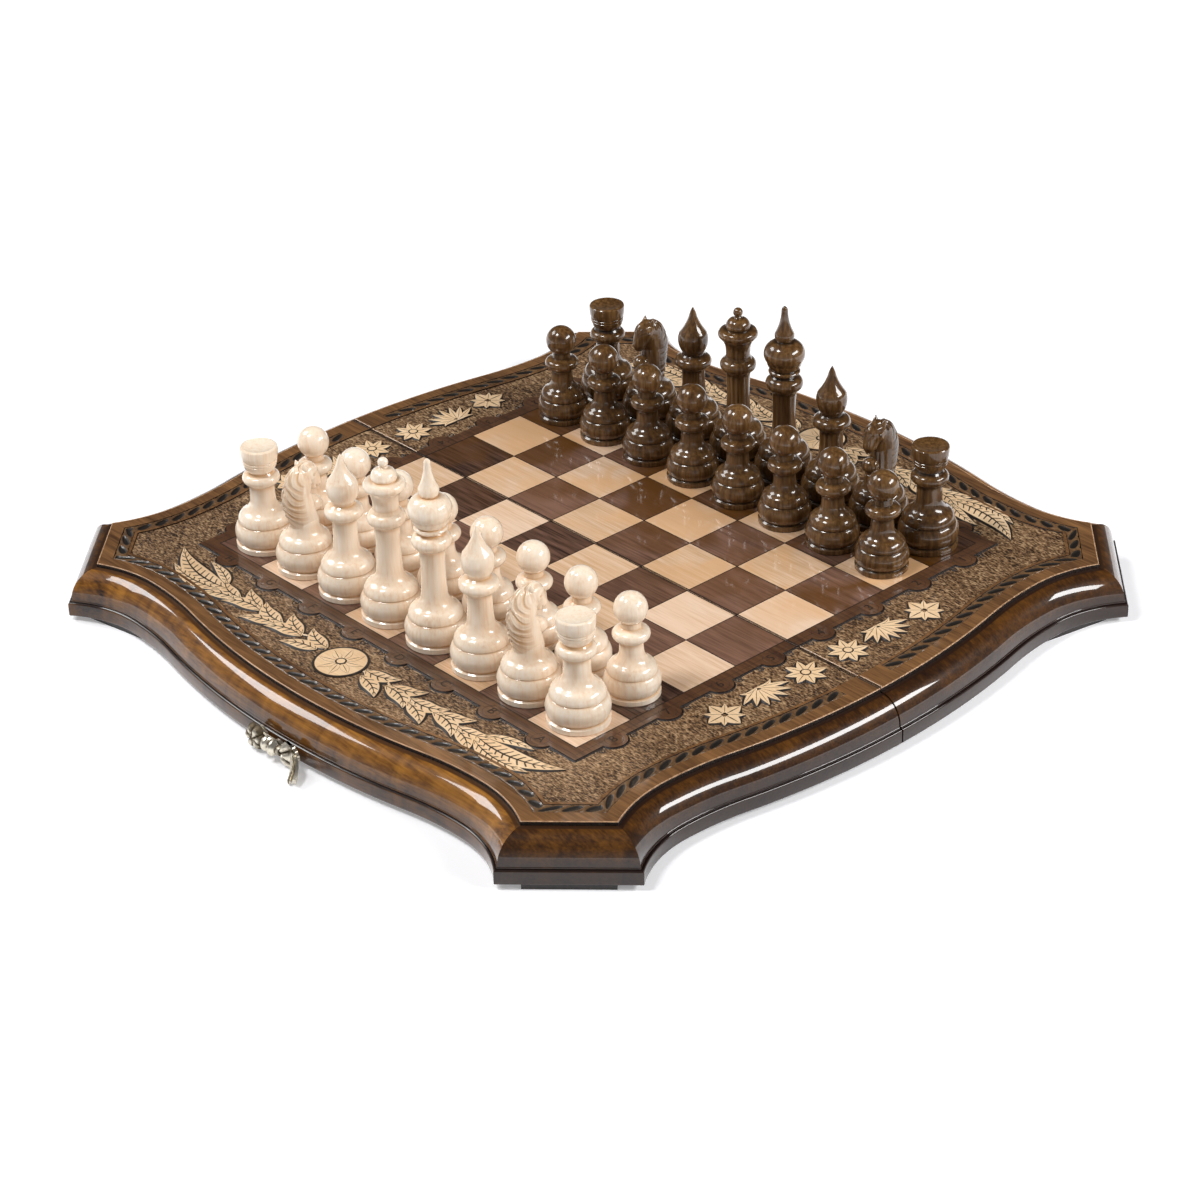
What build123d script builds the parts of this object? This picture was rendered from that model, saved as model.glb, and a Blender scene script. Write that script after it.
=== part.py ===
from build123d import *
import math
import os

# Folding chess and backgammon board with its 32 turned chessmen.
# Millimetres. Origin: middle of the board on the table plane. X runs along the seam, +Y from the light
# half to the dark half, +Z up.

# Playing field
SQUARE = 40.0
SQUARES_PER_SIDE = 8
LINE_WIDTH = 0.8
VENEER = 1.2

# Plan outline at the top edge of the deck, the same on all four sides
EDGE_REACH = 233.0
BULGE_RADIUS = 500.0
BULGE_ANGLE = 12.0
HOLLOW_RADIUS = 220.0
FLARE_RADIUS = 90.0
FLARE_ANGLE = 28.0
SEAM_GAP = 0.6

# Levels above the table
FOOT_HEIGHT = 3.0
FASCIA_HEIGHT = 9.2
TOP_LEVEL = 31.5
DECK_THICKNESS = 9.0

# Edge moulding, measured outward from the deck edge
FASCIA_OUT = 17.0
BEAD_OUT = 15.2
BEAD_RISE = 0.9
OVOLO_START = 1.2
QUIRK_DEPTH = 2.4
FASCIA_BEVEL = 1.3
RAIL_DEPTH = 34.0
SEAT_CLEARANCE = 0.1

# Backgammon well in each half
RAIL_WALL = 11.2
HINGE_RAIL_WIDTH = 11.7
POINTS_PER_BASE = 6
POINT_LENGTH = 152.0
POINT_BASE_GAP = 1.5
INLAY_CLEARANCE = 0.1

# Carved ground between the chess field and the gouged border
BAND_WIDTH = 8.8
TAB_RADIUS = 8.4
TAB_INSET = 1.6
CHAIN_INSET = 12.4
CHAIN_WIDTH = 7.6
CHAIN_DEPTH = 1.2
CHAIN_SEAM_STOP = 18.0
GROUND_INSET = 18.0
GROUND_DEPTH = 0.8

# Feet: strips under the corners, set so that no two meet when the board is shut
FOOT_LENGTH = 50.0
FOOT_WIDTH = 13.0
FOOT_INSET = 1.2
CHAMFER_FOOT_TURN = 45.0
SIDE_FOOT_PLACE = 163.0

# Surface hinges under the seam
HINGE_AXIS_LEVEL = 1.35
KNUCKLE_RADIUS = 1.25
HINGE_PIN_RADIUS = 0.6
HINGE_PLAY = 0.05
HINGE_PLACES = (-130.0, 130.0)
HINGE_LENGTH = 36.0
KNUCKLES = 3
KNUCKLE_PLAY = 0.3
LEAF_WIDTH = 10.0
LEAF_THICKNESS = 1.0

# Swing clasp on the light end and its keeper on the dark end
CLASP_PLACE = -1.0
CLASP_SWING = 45.0
CLASP_LEVEL = 8.5
CLASP_PLATE_RADIUS = 5.0
CLASP_PLATE_THICKNESS = 1.4
CLASP_PLAY = 0.35
PIVOT_RADIUS = 1.3
PIVOT_PLAY = 0.08
ARM_THICKNESS = 2.0
ARM_WIDTH = 5.0
HUB_RADIUS = 4.0
ROSETTE_RADIUS = 5.6
ROSETTE_PETALS = 6
ROSETTE_THICKNESS = 2.0
STUD_REACH = 18.0
STUD_RADIUS = 1.4
STUD_PLAY = 0.35
HOOK_RADIUS = 4.6
BARREL_RADIUS = 2.3
BARREL_LENGTH = 4.0
BARREL_REACH = 11.5
PALMETTE_REACH = 29.0
PALMETTE_RADIUS = 6.4
PALMETTE_LOBES = 5
PULL_LENGTH = 16.0
PULL_OUT = 11.0
PULL_DROP = 5.5
PULL_WIDTH = 5.0
PULL_THICKNESS = 1.8

# Turned chessmen; their rounds have flat sides, which keeps the mesh of all 32 light
MAN_SIDES = 12
MAN_BASE_RADIUS = 18.0
PAWN_BASE_RADIUS = 16.0
MAN_STEM_RADIUS = 7.4
PAWN_STEM_RADIUS = 6.6
KNIGHT_HEAD_HEIGHT = 70.5
KNIGHT_HEAD_FOOT = 33.0
KNIGHT_NECK_WIDTH = 17.0

# Worked out from the sizes above
RIM_LEVEL = FOOT_HEIGHT
FASCIA_TOP = RIM_LEVEL + FASCIA_HEIGHT
DECK_BOTTOM = TOP_LEVEL - DECK_THICKNESS
OVOLO_TOP = TOP_LEVEL - QUIRK_DEPTH
HALF_FIELD = SQUARE * SQUARES_PER_SIDE / 2
BULGE_HALF = math.radians(BULGE_ANGLE)
BULGE_CENTRE = (0.0, BULGE_RADIUS - EDGE_REACH)
BULGE_END = (
    BULGE_RADIUS * math.sin(BULGE_HALF),
    BULGE_CENTRE[1] - BULGE_RADIUS * math.cos(BULGE_HALF),
)
HOLLOW_CENTRE = (
    BULGE_END[0] + HOLLOW_RADIUS * math.sin(BULGE_HALF),
    BULGE_END[1] - HOLLOW_RADIUS * math.cos(BULGE_HALF),
)
FLARE_CENTRE = (HOLLOW_CENTRE[0], HOLLOW_CENTRE[1] + HOLLOW_RADIUS - FLARE_RADIUS)
FASCIA_REACH = EDGE_REACH + FASCIA_OUT
WELL_REACH = -(HOLLOW_CENTRE[1] + HOLLOW_RADIUS) - RAIL_WALL
SPAN = 3 * EDGE_REACH


def corner_point(outward):
    """Where the flare meets the corner chamfer, for an outline moved outward by a distance."""
    turn = math.radians(FLARE_ANGLE)
    start = (FLARE_RADIUS * math.sin(turn), FLARE_RADIUS * math.cos(turn))
    across = (start[0] - start[1]) / math.sqrt(2) + outward
    along = math.sqrt((FLARE_RADIUS - outward) ** 2 - across**2)
    x = FLARE_CENTRE[0] + (across + along) / math.sqrt(2)
    y = FLARE_CENTRE[1] + (along - across) / math.sqrt(2)
    return (x, y)


def outline_face(outward):
    """The whole plan outline, moved outward (or inward, when negative), as a face on the XY plane."""
    corner = corner_point(outward)
    flare_end = math.degrees(math.atan2(corner[1] - FLARE_CENTRE[1], corner[0] - FLARE_CENTRE[0]))
    bulge = CenterArc(BULGE_CENTRE, BULGE_RADIUS + outward, -90 - BULGE_ANGLE, 2 * BULGE_ANGLE)
    hollow = CenterArc(HOLLOW_CENTRE, HOLLOW_RADIUS - outward, 90, BULGE_ANGLE)
    flare = CenterArc(FLARE_CENTRE, FLARE_RADIUS - outward, flare_end, 90 - flare_end)
    chamfer = Line(corner, (-corner[1], -corner[0]))
    right = [hollow, flare]
    side = [bulge, chamfer] + right + [edge.mirror(Plane.YZ) for edge in right]
    edges = [edge.rotate(Axis.Z, quarter * 90) for quarter in range(4) for edge in side]
    return make_face(Wire(edges))


def half_space(sign):
    """A block that holds everything on one side of the seam gap."""
    return Pos(0, sign * (SEAM_GAP / 2 + SPAN), 0) * Box(4 * SPAN, 2 * SPAN, SPAN)


def rail_section():
    """Section of the edge moulding, x outward from the deck edge and y up."""
    bead_top = FASCIA_TOP + BEAD_RISE
    face = FASCIA_OUT - FASCIA_BEVEL
    straight = Polyline(
        (OVOLO_START, OVOLO_TOP),
        (SEAT_CLEARANCE, OVOLO_TOP),
        (SEAT_CLEARANCE, DECK_BOTTOM),
        (-RAIL_DEPTH, DECK_BOTTOM),
        (-RAIL_DEPTH, RIM_LEVEL),
        (face, RIM_LEVEL),
        (FASCIA_OUT, RIM_LEVEL + FASCIA_BEVEL),
        (FASCIA_OUT, FASCIA_TOP - FASCIA_BEVEL),
        (face, FASCIA_TOP),
        (BEAD_OUT, FASCIA_TOP),
        (BEAD_OUT, bead_top),
    )
    ovolo = EllipticalCenterArc((OVOLO_START, bead_top), BEAD_OUT - OVOLO_START, OVOLO_TOP - bead_top)
    return make_face(Wire(list(straight.edges()) + [ovolo]))


def turned_run(section, centre, radius, start, sweep, convex):
    """One stretch of moulding that follows an arc of the plan outline."""
    upright = Plane.XZ * section
    if not convex:
        upright = upright.mirror(Plane.YZ)
    placed = Pos(radius, 0, 0) * upright
    run = revolve(placed, Axis.Z, sweep)
    return Pos(centre[0], centre[1], 0) * Rot(0, 0, start) * run


def mitre_points():
    """Two plan points of the vertical mitre plane: outside the fascia, and on the corner's diagonal."""
    at_edge = corner_point(0)
    at_fascia = corner_point(FASCIA_OUT)
    step = (at_fascia[0] - at_edge[0], at_fascia[1] - at_edge[1])
    to_diagonal = (at_edge[0] + at_edge[1]) / (step[0] + step[1])
    outer = (at_edge[0] + step[0] * 2, at_edge[1] + step[1] * 2)
    inner = (at_edge[0] - step[0] * to_diagonal, at_edge[1] - step[1] * to_diagonal)
    return outer, inner


def across_diagonal(point):
    """The mirror image of a plan point in the line through the front right corner."""
    return (-point[1], -point[0])


def side_moulding():
    """The moulding of one whole side, mitred at both ends, lying on the -Y side."""
    section = rail_section()
    spare = 12.0
    hollow = turned_run(section, HOLLOW_CENTRE, HOLLOW_RADIUS, 90, BULGE_ANGLE, False)
    flare = turned_run(
        section, FLARE_CENTRE, FLARE_RADIUS, 90 - FLARE_ANGLE - spare, FLARE_ANGLE + spare, False
    )
    bulge = turned_run(section, BULGE_CENTRE, BULGE_RADIUS, -90 - BULGE_ANGLE, 2 * BULGE_ANGLE, True)
    right = [hollow, flare]
    runs = right + [run.mirror(Plane.YZ) for run in right]
    outer, inner = mitre_points()
    keep = make_face(Polyline(outer, inner, (-inner[0], inner[1]), (-outer[0], outer[1]), close=True))
    moulding = bulge.fuse(*runs)
    return moulding & extrude(keep, TOP_LEVEL)


def corner_moulding():
    """The short mitred block across the front right corner."""
    section = rail_section()
    corner = corner_point(0)
    middle = ((corner[0] - corner[1]) / 2, (corner[1] - corner[0]) / 2)
    length = 3 * FASCIA_OUT + 2 * abs(corner[0] + corner[1])
    bar = Pos(0, length / 2, 0) * extrude(Plane.XZ * section, length)
    placed = Pos(middle[0], middle[1], 0) * Rot(0, 0, -45) * bar
    outer, inner = mitre_points()
    keep = make_face(Polyline(outer, inner, across_diagonal(outer), close=True))
    return placed & extrude(keep, TOP_LEVEL)


def frame_rails(sign, side, corner):
    """The end rail, corner blocks and side rails of one half, cut to the well and the seam."""
    turn = 0 if sign < 0 else 180
    half = half_space(sign)
    hollow = Pos(0, 0, DECK_BOTTOM / 2) * Box(2 * WELL_REACH, 2 * WELL_REACH, DECK_BOTTOM)
    end_rail = Rot(0, 0, turn) * side - hollow
    right_block = (corner if sign < 0 else corner.mirror(Plane.XZ)) - hollow
    corner_blocks = Compound([right_block, right_block.mirror(Plane.YZ)])
    right_rail = (Rot(0, 0, 90) * side & half) - hollow
    left_rail = right_rail.mirror(Plane.YZ)
    return end_rail, corner_blocks, right_rail, left_rail


def hinge_rail(sign):
    """The straight rail along the seam, between the two side rails."""
    height = DECK_BOTTOM - RIM_LEVEL
    middle = SEAM_GAP / 2 + HINGE_RAIL_WIDTH / 2
    return Pos(0, sign * middle, RIM_LEVEL + height / 2) * Box(2 * WELL_REACH, HINGE_RAIL_WIDTH, height)


def band_with_tabs():
    """Plan face of the plain band round the chess field, with one tab for every square's coordinate."""
    reach = HALF_FIELD + BAND_WIDTH
    band = Rectangle(2 * reach, 2 * reach)
    for number in range(SQUARES_PER_SIDE):
        along = (number + 0.5) * SQUARE - HALF_FIELD
        tab = Circle(TAB_RADIUS)
        out = reach - TAB_INSET
        for place in ((along, out), (along, -out), (out, along), (-out, along)):
            band = band + Pos(*place) * tab
    return band


def point_places(sign):
    """Corner points of the twelve backgammon points of one half, with a flag for the pale ones."""
    front = SEAM_GAP / 2 + HINGE_RAIL_WIDTH
    pitch = (WELL_REACH - front) / POINTS_PER_BASE
    places = []
    for side in (-1, 1):
        for number in range(POINTS_PER_BASE):
            low = front + number * pitch + POINT_BASE_GAP / 2
            high = front + (number + 1) * pitch - POINT_BASE_GAP / 2
            base = side * (WELL_REACH - POINT_BASE_GAP)
            tip = side * (WELL_REACH - POINT_BASE_GAP - POINT_LENGTH)
            corners = ((base, sign * low), (base, sign * high), (tip, sign * (low + high) / 2))
            pale = (number + (side > 0)) % 2 == 0
            places.append((corners, pale))
    return places


def point_solid(corners, clearance):
    """A flat triangle let into the underside of the deck, smaller all round by a clearance."""
    triangle = make_face(Polyline(*corners, close=True))
    if clearance:
        triangle = offset(triangle, -clearance, kind=Kind.INTERSECTION)
    return Pos(0, 0, DECK_BOTTOM) * extrude(triangle, VENEER)


def point_inlays(sign, wanted_pale):
    """The six backgammon points of one colour in one half."""
    chosen = [corners for corners, pale in point_places(sign) if pale == wanted_pale]
    return Compound([point_solid(corners, INLAY_CLEARANCE) for corners in chosen])


def deck(sign, whole_deck):
    """One half of the carved deck, with the field's pocket and the pockets of the points below."""
    field = Pos(0, 0, TOP_LEVEL - VENEER) * extrude(Rectangle(2 * HALF_FIELD, 2 * HALF_FIELD), VENEER)
    half = (whole_deck - field) & half_space(sign)
    pockets = [point_solid(corners, 0) for corners, pale in point_places(sign)]
    return half.cut(*pockets)


def chain_channel():
    """Plan face of the channel along the edge in which the chain is carved, stopped short of the seam."""
    ring = outline_face(-(CHAIN_INSET - CHAIN_WIDTH / 2)) - outline_face(-(CHAIN_INSET + CHAIN_WIDTH / 2))
    return ring - Rectangle(SPAN, 2 * CHAIN_SEAM_STOP)


def whole_deck_plate():
    """The deck of both halves in one piece, with its carved ground and the chain's channel let down."""
    plate = Pos(0, 0, DECK_BOTTOM) * extrude(outline_face(0), DECK_THICKNESS)
    ground = outline_face(-GROUND_INSET) - band_with_tabs()
    plate = plate - Pos(0, 0, TOP_LEVEL - GROUND_DEPTH) * extrude(ground, GROUND_DEPTH)
    return plate - Pos(0, 0, TOP_LEVEL - CHAIN_DEPTH) * extrude(chain_channel(), CHAIN_DEPTH)


def chess_squares(sign, wanted_pale):
    """The sixteen inlaid squares of one colour in one half."""
    squares = []
    rows = range(SQUARES_PER_SIDE // 2) if sign < 0 else range(SQUARES_PER_SIDE // 2, SQUARES_PER_SIDE)
    size = SQUARE - LINE_WIDTH
    for column in range(SQUARES_PER_SIDE):
        for row in rows:
            if (column + row) % 2 == int(wanted_pale):
                x = (column + 0.5) * SQUARE - HALF_FIELD
                y = (row + 0.5) * SQUARE - HALF_FIELD
                squares.append(Pos(x, y, TOP_LEVEL - VENEER / 2) * Box(size, size, VENEER))
    return Compound(squares)


def foot_strip(x, y, turn):
    """A foot whose outer edge passes through a plan point, turned about it."""
    strip = Pos(0, FOOT_WIDTH / 2 + FOOT_INSET, FOOT_HEIGHT / 2) * Box(FOOT_LENGTH, FOOT_WIDTH, FOOT_HEIGHT)
    return Pos(x, y, 0) * Rot(0, 0, turn) * strip


def feet():
    """The feet of the light half and of the dark half."""
    corner = corner_point(FASCIA_OUT)
    middle = (corner[0] - corner[1]) / 2
    flare = FLARE_RADIUS - FASCIA_OUT
    turn = math.asin((SIDE_FOOT_PLACE - FLARE_CENTRE[0]) / flare)
    side_reach = FLARE_CENTRE[1] + flare * math.cos(turn)
    chamfer_foot = foot_strip(middle, -middle, CHAMFER_FOOT_TURN)
    side_foot = foot_strip(-SIDE_FOOT_PLACE, side_reach, math.degrees(turn))
    light_feet = Compound([chamfer_foot, side_foot])
    dark_side_foot = Rot(0, 0, 90) * side_foot.mirror(Plane.YZ)
    dark_feet = Compound([dark_side_foot, Rot(0, 0, 180) * chamfer_foot])
    return light_feet, dark_feet


def knuckle_spans():
    """Start and length along X of each knuckle of a hinge, from its middle."""
    length = (HINGE_LENGTH - (KNUCKLES - 1) * KNUCKLE_PLAY) / KNUCKLES
    step = length + KNUCKLE_PLAY
    return [(number * step - HINGE_LENGTH / 2, length) for number in range(KNUCKLES)]


def along_seam(radius, start, length):
    """A round bar on the hinge axis."""
    bar = Rot(0, 90, 0) * Cylinder(radius, length)
    return Pos(start + length / 2, 0, HINGE_AXIS_LEVEL) * bar


def hinge_leaf(sign, place):
    """A leaf screwed under the rim, with the knuckles that belong to its half."""
    own = 0 if sign < 0 else 1
    top = RIM_LEVEL - LEAF_THICKNESS / 2
    middle = SEAM_GAP / 2 + LEAF_WIDTH / 2
    leaf = Pos(0, sign * middle, top) * Box(HINGE_LENGTH, LEAF_WIDTH, LEAF_THICKNESS)
    clear = KNUCKLE_RADIUS + KNUCKLE_PLAY
    for number, (start, length) in enumerate(knuckle_spans()):
        if number % 2 == own:
            leaf = leaf + along_seam(KNUCKLE_RADIUS, start, length)
        else:
            leaf = leaf - along_seam(clear, start - KNUCKLE_PLAY, length + 2 * KNUCKLE_PLAY)
    bore = HINGE_PIN_RADIUS if sign < 0 else HINGE_PIN_RADIUS + HINGE_PLAY
    leaf = leaf - along_seam(bore, -HINGE_LENGTH, 2 * HINGE_LENGTH)
    return Pos(place, 0, 0) * leaf


def hinge_pins():
    """The pins, held in the knuckles of the light half."""
    pins = [along_seam(HINGE_PIN_RADIUS, place - HINGE_LENGTH / 2, HINGE_LENGTH) for place in HINGE_PLACES]
    return Compound(pins)


def outward_disc(radius, x, z, near, thickness):
    """A disc that faces the light end, from a distance off the fascia outward."""
    disc = Rot(90, 0, 0) * Cylinder(radius, thickness)
    return Pos(x, -(FASCIA_REACH + near + thickness / 2), z) * disc


def clasp_plate():
    """The clasp's plate with its riveted pivot, whose head is a petalled rosette."""
    arm_near = CLASP_PLATE_THICKNESS + CLASP_PLAY
    head_near = arm_near + ARM_THICKNESS + CLASP_PLAY
    head = outward_disc(ROSETTE_RADIUS * 0.62, CLASP_PLACE, CLASP_LEVEL, head_near, ROSETTE_THICKNESS)
    petal_radius = ROSETTE_RADIUS * 0.4
    petal_place = ROSETTE_RADIUS - petal_radius
    for number in range(ROSETTE_PETALS):
        angle = math.radians(360 * number / ROSETTE_PETALS)
        x = CLASP_PLACE + petal_place * math.cos(angle)
        z = CLASP_LEVEL + petal_place * math.sin(angle)
        head = head + outward_disc(petal_radius, x, z, head_near, ROSETTE_THICKNESS * 0.7)
    plate = outward_disc(CLASP_PLATE_RADIUS, CLASP_PLACE, CLASP_LEVEL, 0, CLASP_PLATE_THICKNESS)
    pivot = outward_disc(PIVOT_RADIUS, CLASP_PLACE, CLASP_LEVEL, 0, head_near + ROSETTE_THICKNESS / 2)
    return plate + pivot + head


def palmette(near):
    """The fan of lobes at the free end of the clasp's arm."""
    centre = CLASP_PLACE + PALMETTE_REACH
    fan = outward_disc(PALMETTE_RADIUS * 0.62, centre, CLASP_LEVEL, near, ARM_THICKNESS)
    lobe_radius = PALMETTE_RADIUS * 0.34
    lobe_place = PALMETTE_RADIUS - lobe_radius
    for number in range(PALMETTE_LOBES):
        angle = math.radians(-80 + 160 * number / (PALMETTE_LOBES - 1))
        x = centre + lobe_place * math.cos(angle)
        z = CLASP_LEVEL + lobe_place * math.sin(angle)
        fan = fan + outward_disc(lobe_radius, x, z, near, ARM_THICKNESS)
    return fan


def finger_pull(near):
    """The tongue that curls on from the palmette, outward and down."""
    x = CLASP_PLACE + PALMETTE_REACH
    y = -(FASCIA_REACH + near + ARM_THICKNESS / 2)
    start = (x, y, CLASP_LEVEL)
    bend = (x + PULL_LENGTH * 0.6, y - PULL_OUT * 0.35, CLASP_LEVEL - PULL_DROP * 0.3)
    end = (x + PULL_LENGTH, y - PULL_OUT, CLASP_LEVEL - PULL_DROP)
    spine = ThreePointArc(start, bend, end)
    across = Plane(origin=spine @ 0, x_dir=(0, 0, 1), z_dir=spine % 0)
    return sweep(across * Rectangle(PULL_WIDTH, PULL_THICKNESS), path=spine)


def stud_slot():
    """The slot by which the swinging arm takes in the stud: an arc about the pivot, open downward."""
    play = STUD_RADIUS + STUD_PLAY
    ring = Circle(STUD_REACH + play) - Circle(STUD_REACH - play)
    below = Pos(STUD_REACH, -STUD_REACH) * Rectangle(2 * STUD_REACH, 2 * STUD_REACH)
    slot = ring & below
    return slot + Pos(STUD_REACH, 0) * Circle(play)


def clasp_arm():
    """The swinging arm: hub, barrel, hook with its open slot, palmette and finger pull."""
    near = CLASP_PLATE_THICKNESS + CLASP_PLAY
    middle = -(FASCIA_REACH + near + ARM_THICKNESS / 2)
    half_reach = PALMETTE_REACH / 2
    hub = outward_disc(HUB_RADIUS, CLASP_PLACE, CLASP_LEVEL, near, ARM_THICKNESS)
    strip = Box(PALMETTE_REACH, ARM_THICKNESS, ARM_WIDTH)
    bar = Pos(CLASP_PLACE + half_reach, middle, CLASP_LEVEL) * strip
    hook = outward_disc(HOOK_RADIUS, CLASP_PLACE + STUD_REACH, CLASP_LEVEL, near, ARM_THICKNESS)
    turned_bar = Rot(0, 90, 0) * Cylinder(BARREL_RADIUS, BARREL_LENGTH)
    barrel = Pos(CLASP_PLACE + BARREL_REACH, middle - ARM_THICKNESS / 2, CLASP_LEVEL) * turned_bar
    arm = hub + bar + hook + palmette(near) + finger_pull(near) + barrel
    slot_bar = extrude(Plane.XZ * stud_slot(), 4 * ARM_THICKNESS)
    slot = Pos(CLASP_PLACE, -FASCIA_REACH, CLASP_LEVEL) * slot_bar
    bore = outward_disc(PIVOT_RADIUS + PIVOT_PLAY, CLASP_PLACE, CLASP_LEVEL, 0, 4 * ARM_THICKNESS)
    return arm - slot - bore


def clasp_keeper():
    """The keeper's plate and stud on the dark end, where the shut clasp's hook reaches it."""
    swing = math.radians(CLASP_SWING)
    place = CLASP_PLACE + STUD_REACH * math.cos(swing)
    level = 2 * HINGE_AXIS_LEVEL - CLASP_LEVEL + STUD_REACH * math.sin(swing)
    plate_radius = min(CLASP_PLATE_RADIUS, level - RIM_LEVEL)
    plate = outward_disc(plate_radius, place, level, 0, CLASP_PLATE_THICKNESS)
    stud_length = CLASP_PLATE_THICKNESS + 2 * CLASP_PLAY + ARM_THICKNESS
    stud = outward_disc(STUD_RADIUS, place, level, 0, stud_length)
    return (plate + stud).mirror(Plane.XZ)


# Each mark of an outline is (radius, height), and the lathe's line runs straight from mark to mark
PAWN_TOP = ((6.6, 33.0), (10.8, 36.6), (10.8, 40.0), (5.8, 44.2), (9.3, 50.0), (9.3, 58.2), (3.8, 63.6))
ROOK_TOP = ((7.2, 39.8), (11.1, 43.8), (11.1, 47.4), (7.6, 50.6), (10.5, 55.4), (11.2, 65.7))
BISHOP_TOP = (
    (7.3, 47.2), (11.6, 51.0), (11.6, 54.8), (6.8, 59.0), (9.4, 65.0), (8.7, 71.5), (3.8, 80.5), (0.9, 89.9),
)
QUEEN_TOP = (
    (7.7, 58.2), (11.3, 62.4), (11.3, 66.2), (7.5, 71.2), (12.3, 83.4), (12.3, 86.4), (7.6, 88.4), (5.4, 93.2),
    (1.9, 96.4), (2.9, 99.2), (1.6, 102.0),
)
KING_TOP = (
    (7.5, 58.8), (11.7, 63.0), (11.7, 67.4), (7.8, 72.2), (12.4, 83.4), (12.2, 89.2), (5.3, 94.0), (6.1, 98.4),
    (3.0, 107.5), (1.6, 116.0),
)


def base_marks(radius, stem):
    """Marks of the turned base that all men share: round drum, groove and dome."""
    return (
        (radius, 0),
        (radius, radius * 0.66),
        (radius * 0.82, radius * 0.94),
        (radius * 0.74, radius * 1.26),
        (stem, radius * 1.64),
    )


def ring_corners(radius, height):
    """Corner points of one mark's ring round the axis."""
    turns = [2 * math.pi * number / MAN_SIDES for number in range(MAN_SIDES)]
    return [(radius * math.cos(turn), radius * math.sin(turn), height) for turn in turns]


def flat_face(corners):
    """A flat face through its corner points."""
    return make_face(Polyline(*corners, close=True)).face()


def turned(radius, stem, top):
    """A man turned from its outline marks, standing at the origin: flat faces from ring to ring."""
    rings = [ring_corners(out, height) for out, height in base_marks(radius, stem) + top]
    faces = [flat_face(rings[0]), flat_face(rings[-1])]
    for low, high in zip(rings, rings[1:]):
        for number in range(MAN_SIDES):
            after = (number + 1) % MAN_SIDES
            faces.append(flat_face((low[number], low[after], high[after], high[number])))
    return Solid(Shell(faces))


def horse_head():
    """The carved head of the knight, looking along +Y: its side view cut by its front view."""
    foot = KNIGHT_HEAD_FOOT - 2
    top = KNIGHT_HEAD_HEIGHT
    side_marks = (
        (-9.0, foot), (-11.0, foot + 10), (-10.0, top - 20), (-6.0, top - 6), (-1.5, top), (3.5, top - 5),
        (12.0, top - 16), (13.0, top - 21), (9.5, top - 24), (3.5, top - 21), (6.5, foot + 12), (9.0, foot),
    )
    side = make_face(Polyline(*side_marks, close=True))
    side_solid = extrude(Plane.YZ * side, KNIGHT_NECK_WIDTH / 2, both=True)
    half = KNIGHT_NECK_WIDTH / 2
    front_marks = ((-half, foot), (-half * 0.82, top - 18), (-half * 0.3, top), (half * 0.3, top))
    front = make_face(Polyline(*front_marks, (half * 0.82, top - 18), (half, foot), close=True))
    front_solid = extrude(Plane.XZ * front, KNIGHT_HEAD_HEIGHT, both=True)
    return side_solid & front_solid


def knight():
    """A turned base that carries the carved head."""
    base = turned(MAN_BASE_RADIUS, KNIGHT_NECK_WIDTH / 2, ((KNIGHT_NECK_WIDTH / 2, KNIGHT_HEAD_FOOT),))
    return base + horse_head()


def chessmen():
    """All 32 men as (node name, shape), standing on their squares, each looking at the other side."""
    shapes = {
        "pawn": turned(PAWN_BASE_RADIUS, PAWN_STEM_RADIUS, PAWN_TOP),
        "rook": turned(MAN_BASE_RADIUS, MAN_STEM_RADIUS, ROOK_TOP),
        "knight": knight(),
        "bishop": turned(MAN_BASE_RADIUS, MAN_STEM_RADIUS, BISHOP_TOP),
        "queen": turned(MAN_BASE_RADIUS, MAN_STEM_RADIUS, QUEEN_TOP),
        "king": turned(MAN_BASE_RADIUS, MAN_STEM_RADIUS, KING_TOP),
    }
    back_row = ("rook", "knight", "bishop", "queen", "king", "bishop", "knight", "rook")
    men = []
    for colour, sign in (("light", -1), ("dark", 1)):
        turn = 0 if sign < 0 else 180
        back_line = sign * (HALF_FIELD - SQUARE / 2)
        pawn_line = sign * (HALF_FIELD - 1.5 * SQUARE)
        for column, kind in enumerate(back_row):
            x = (column + 0.5) * SQUARE - HALF_FIELD
            number = f"_{1 + (column > 3)}" if kind in ("rook", "knight", "bishop") else ""
            officer = Pos(x, back_line, TOP_LEVEL) * Rot(0, 0, turn) * shapes[kind]
            pawn = Pos(x, pawn_line, TOP_LEVEL) * shapes["pawn"]
            men.append((f"{colour}_{kind}{number}", officer))
            men.append((f"{colour}_pawn_{column + 1}", pawn))
    return men


def board_half(name, sign, side, corner, whole_deck, foot_set):
    """All fixed pieces of one half as (node name, shape)."""
    end_rail, corner_blocks, right_rail, left_rail = frame_rails(sign, side, corner)
    leaves = Compound([hinge_leaf(sign, place) for place in HINGE_PLACES])
    return [
        (f"{name}_end_rail", end_rail),
        (f"{name}_corner_blocks", corner_blocks),
        (f"{name}_right_rail", right_rail),
        (f"{name}_left_rail", left_rail),
        (f"{name}_hinge_rail", hinge_rail(sign)),
        (f"{name}_deck", deck(sign, whole_deck)),
        (f"{name}_pale_squares", chess_squares(sign, True)),
        (f"{name}_brown_squares", chess_squares(sign, False)),
        (f"{name}_pale_points", point_inlays(sign, True)),
        (f"{name}_brown_points", point_inlays(sign, False)),
        (f"{name}_feet", foot_set),
        (f"{name}_hinge_leaves", leaves),
    ]


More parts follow.
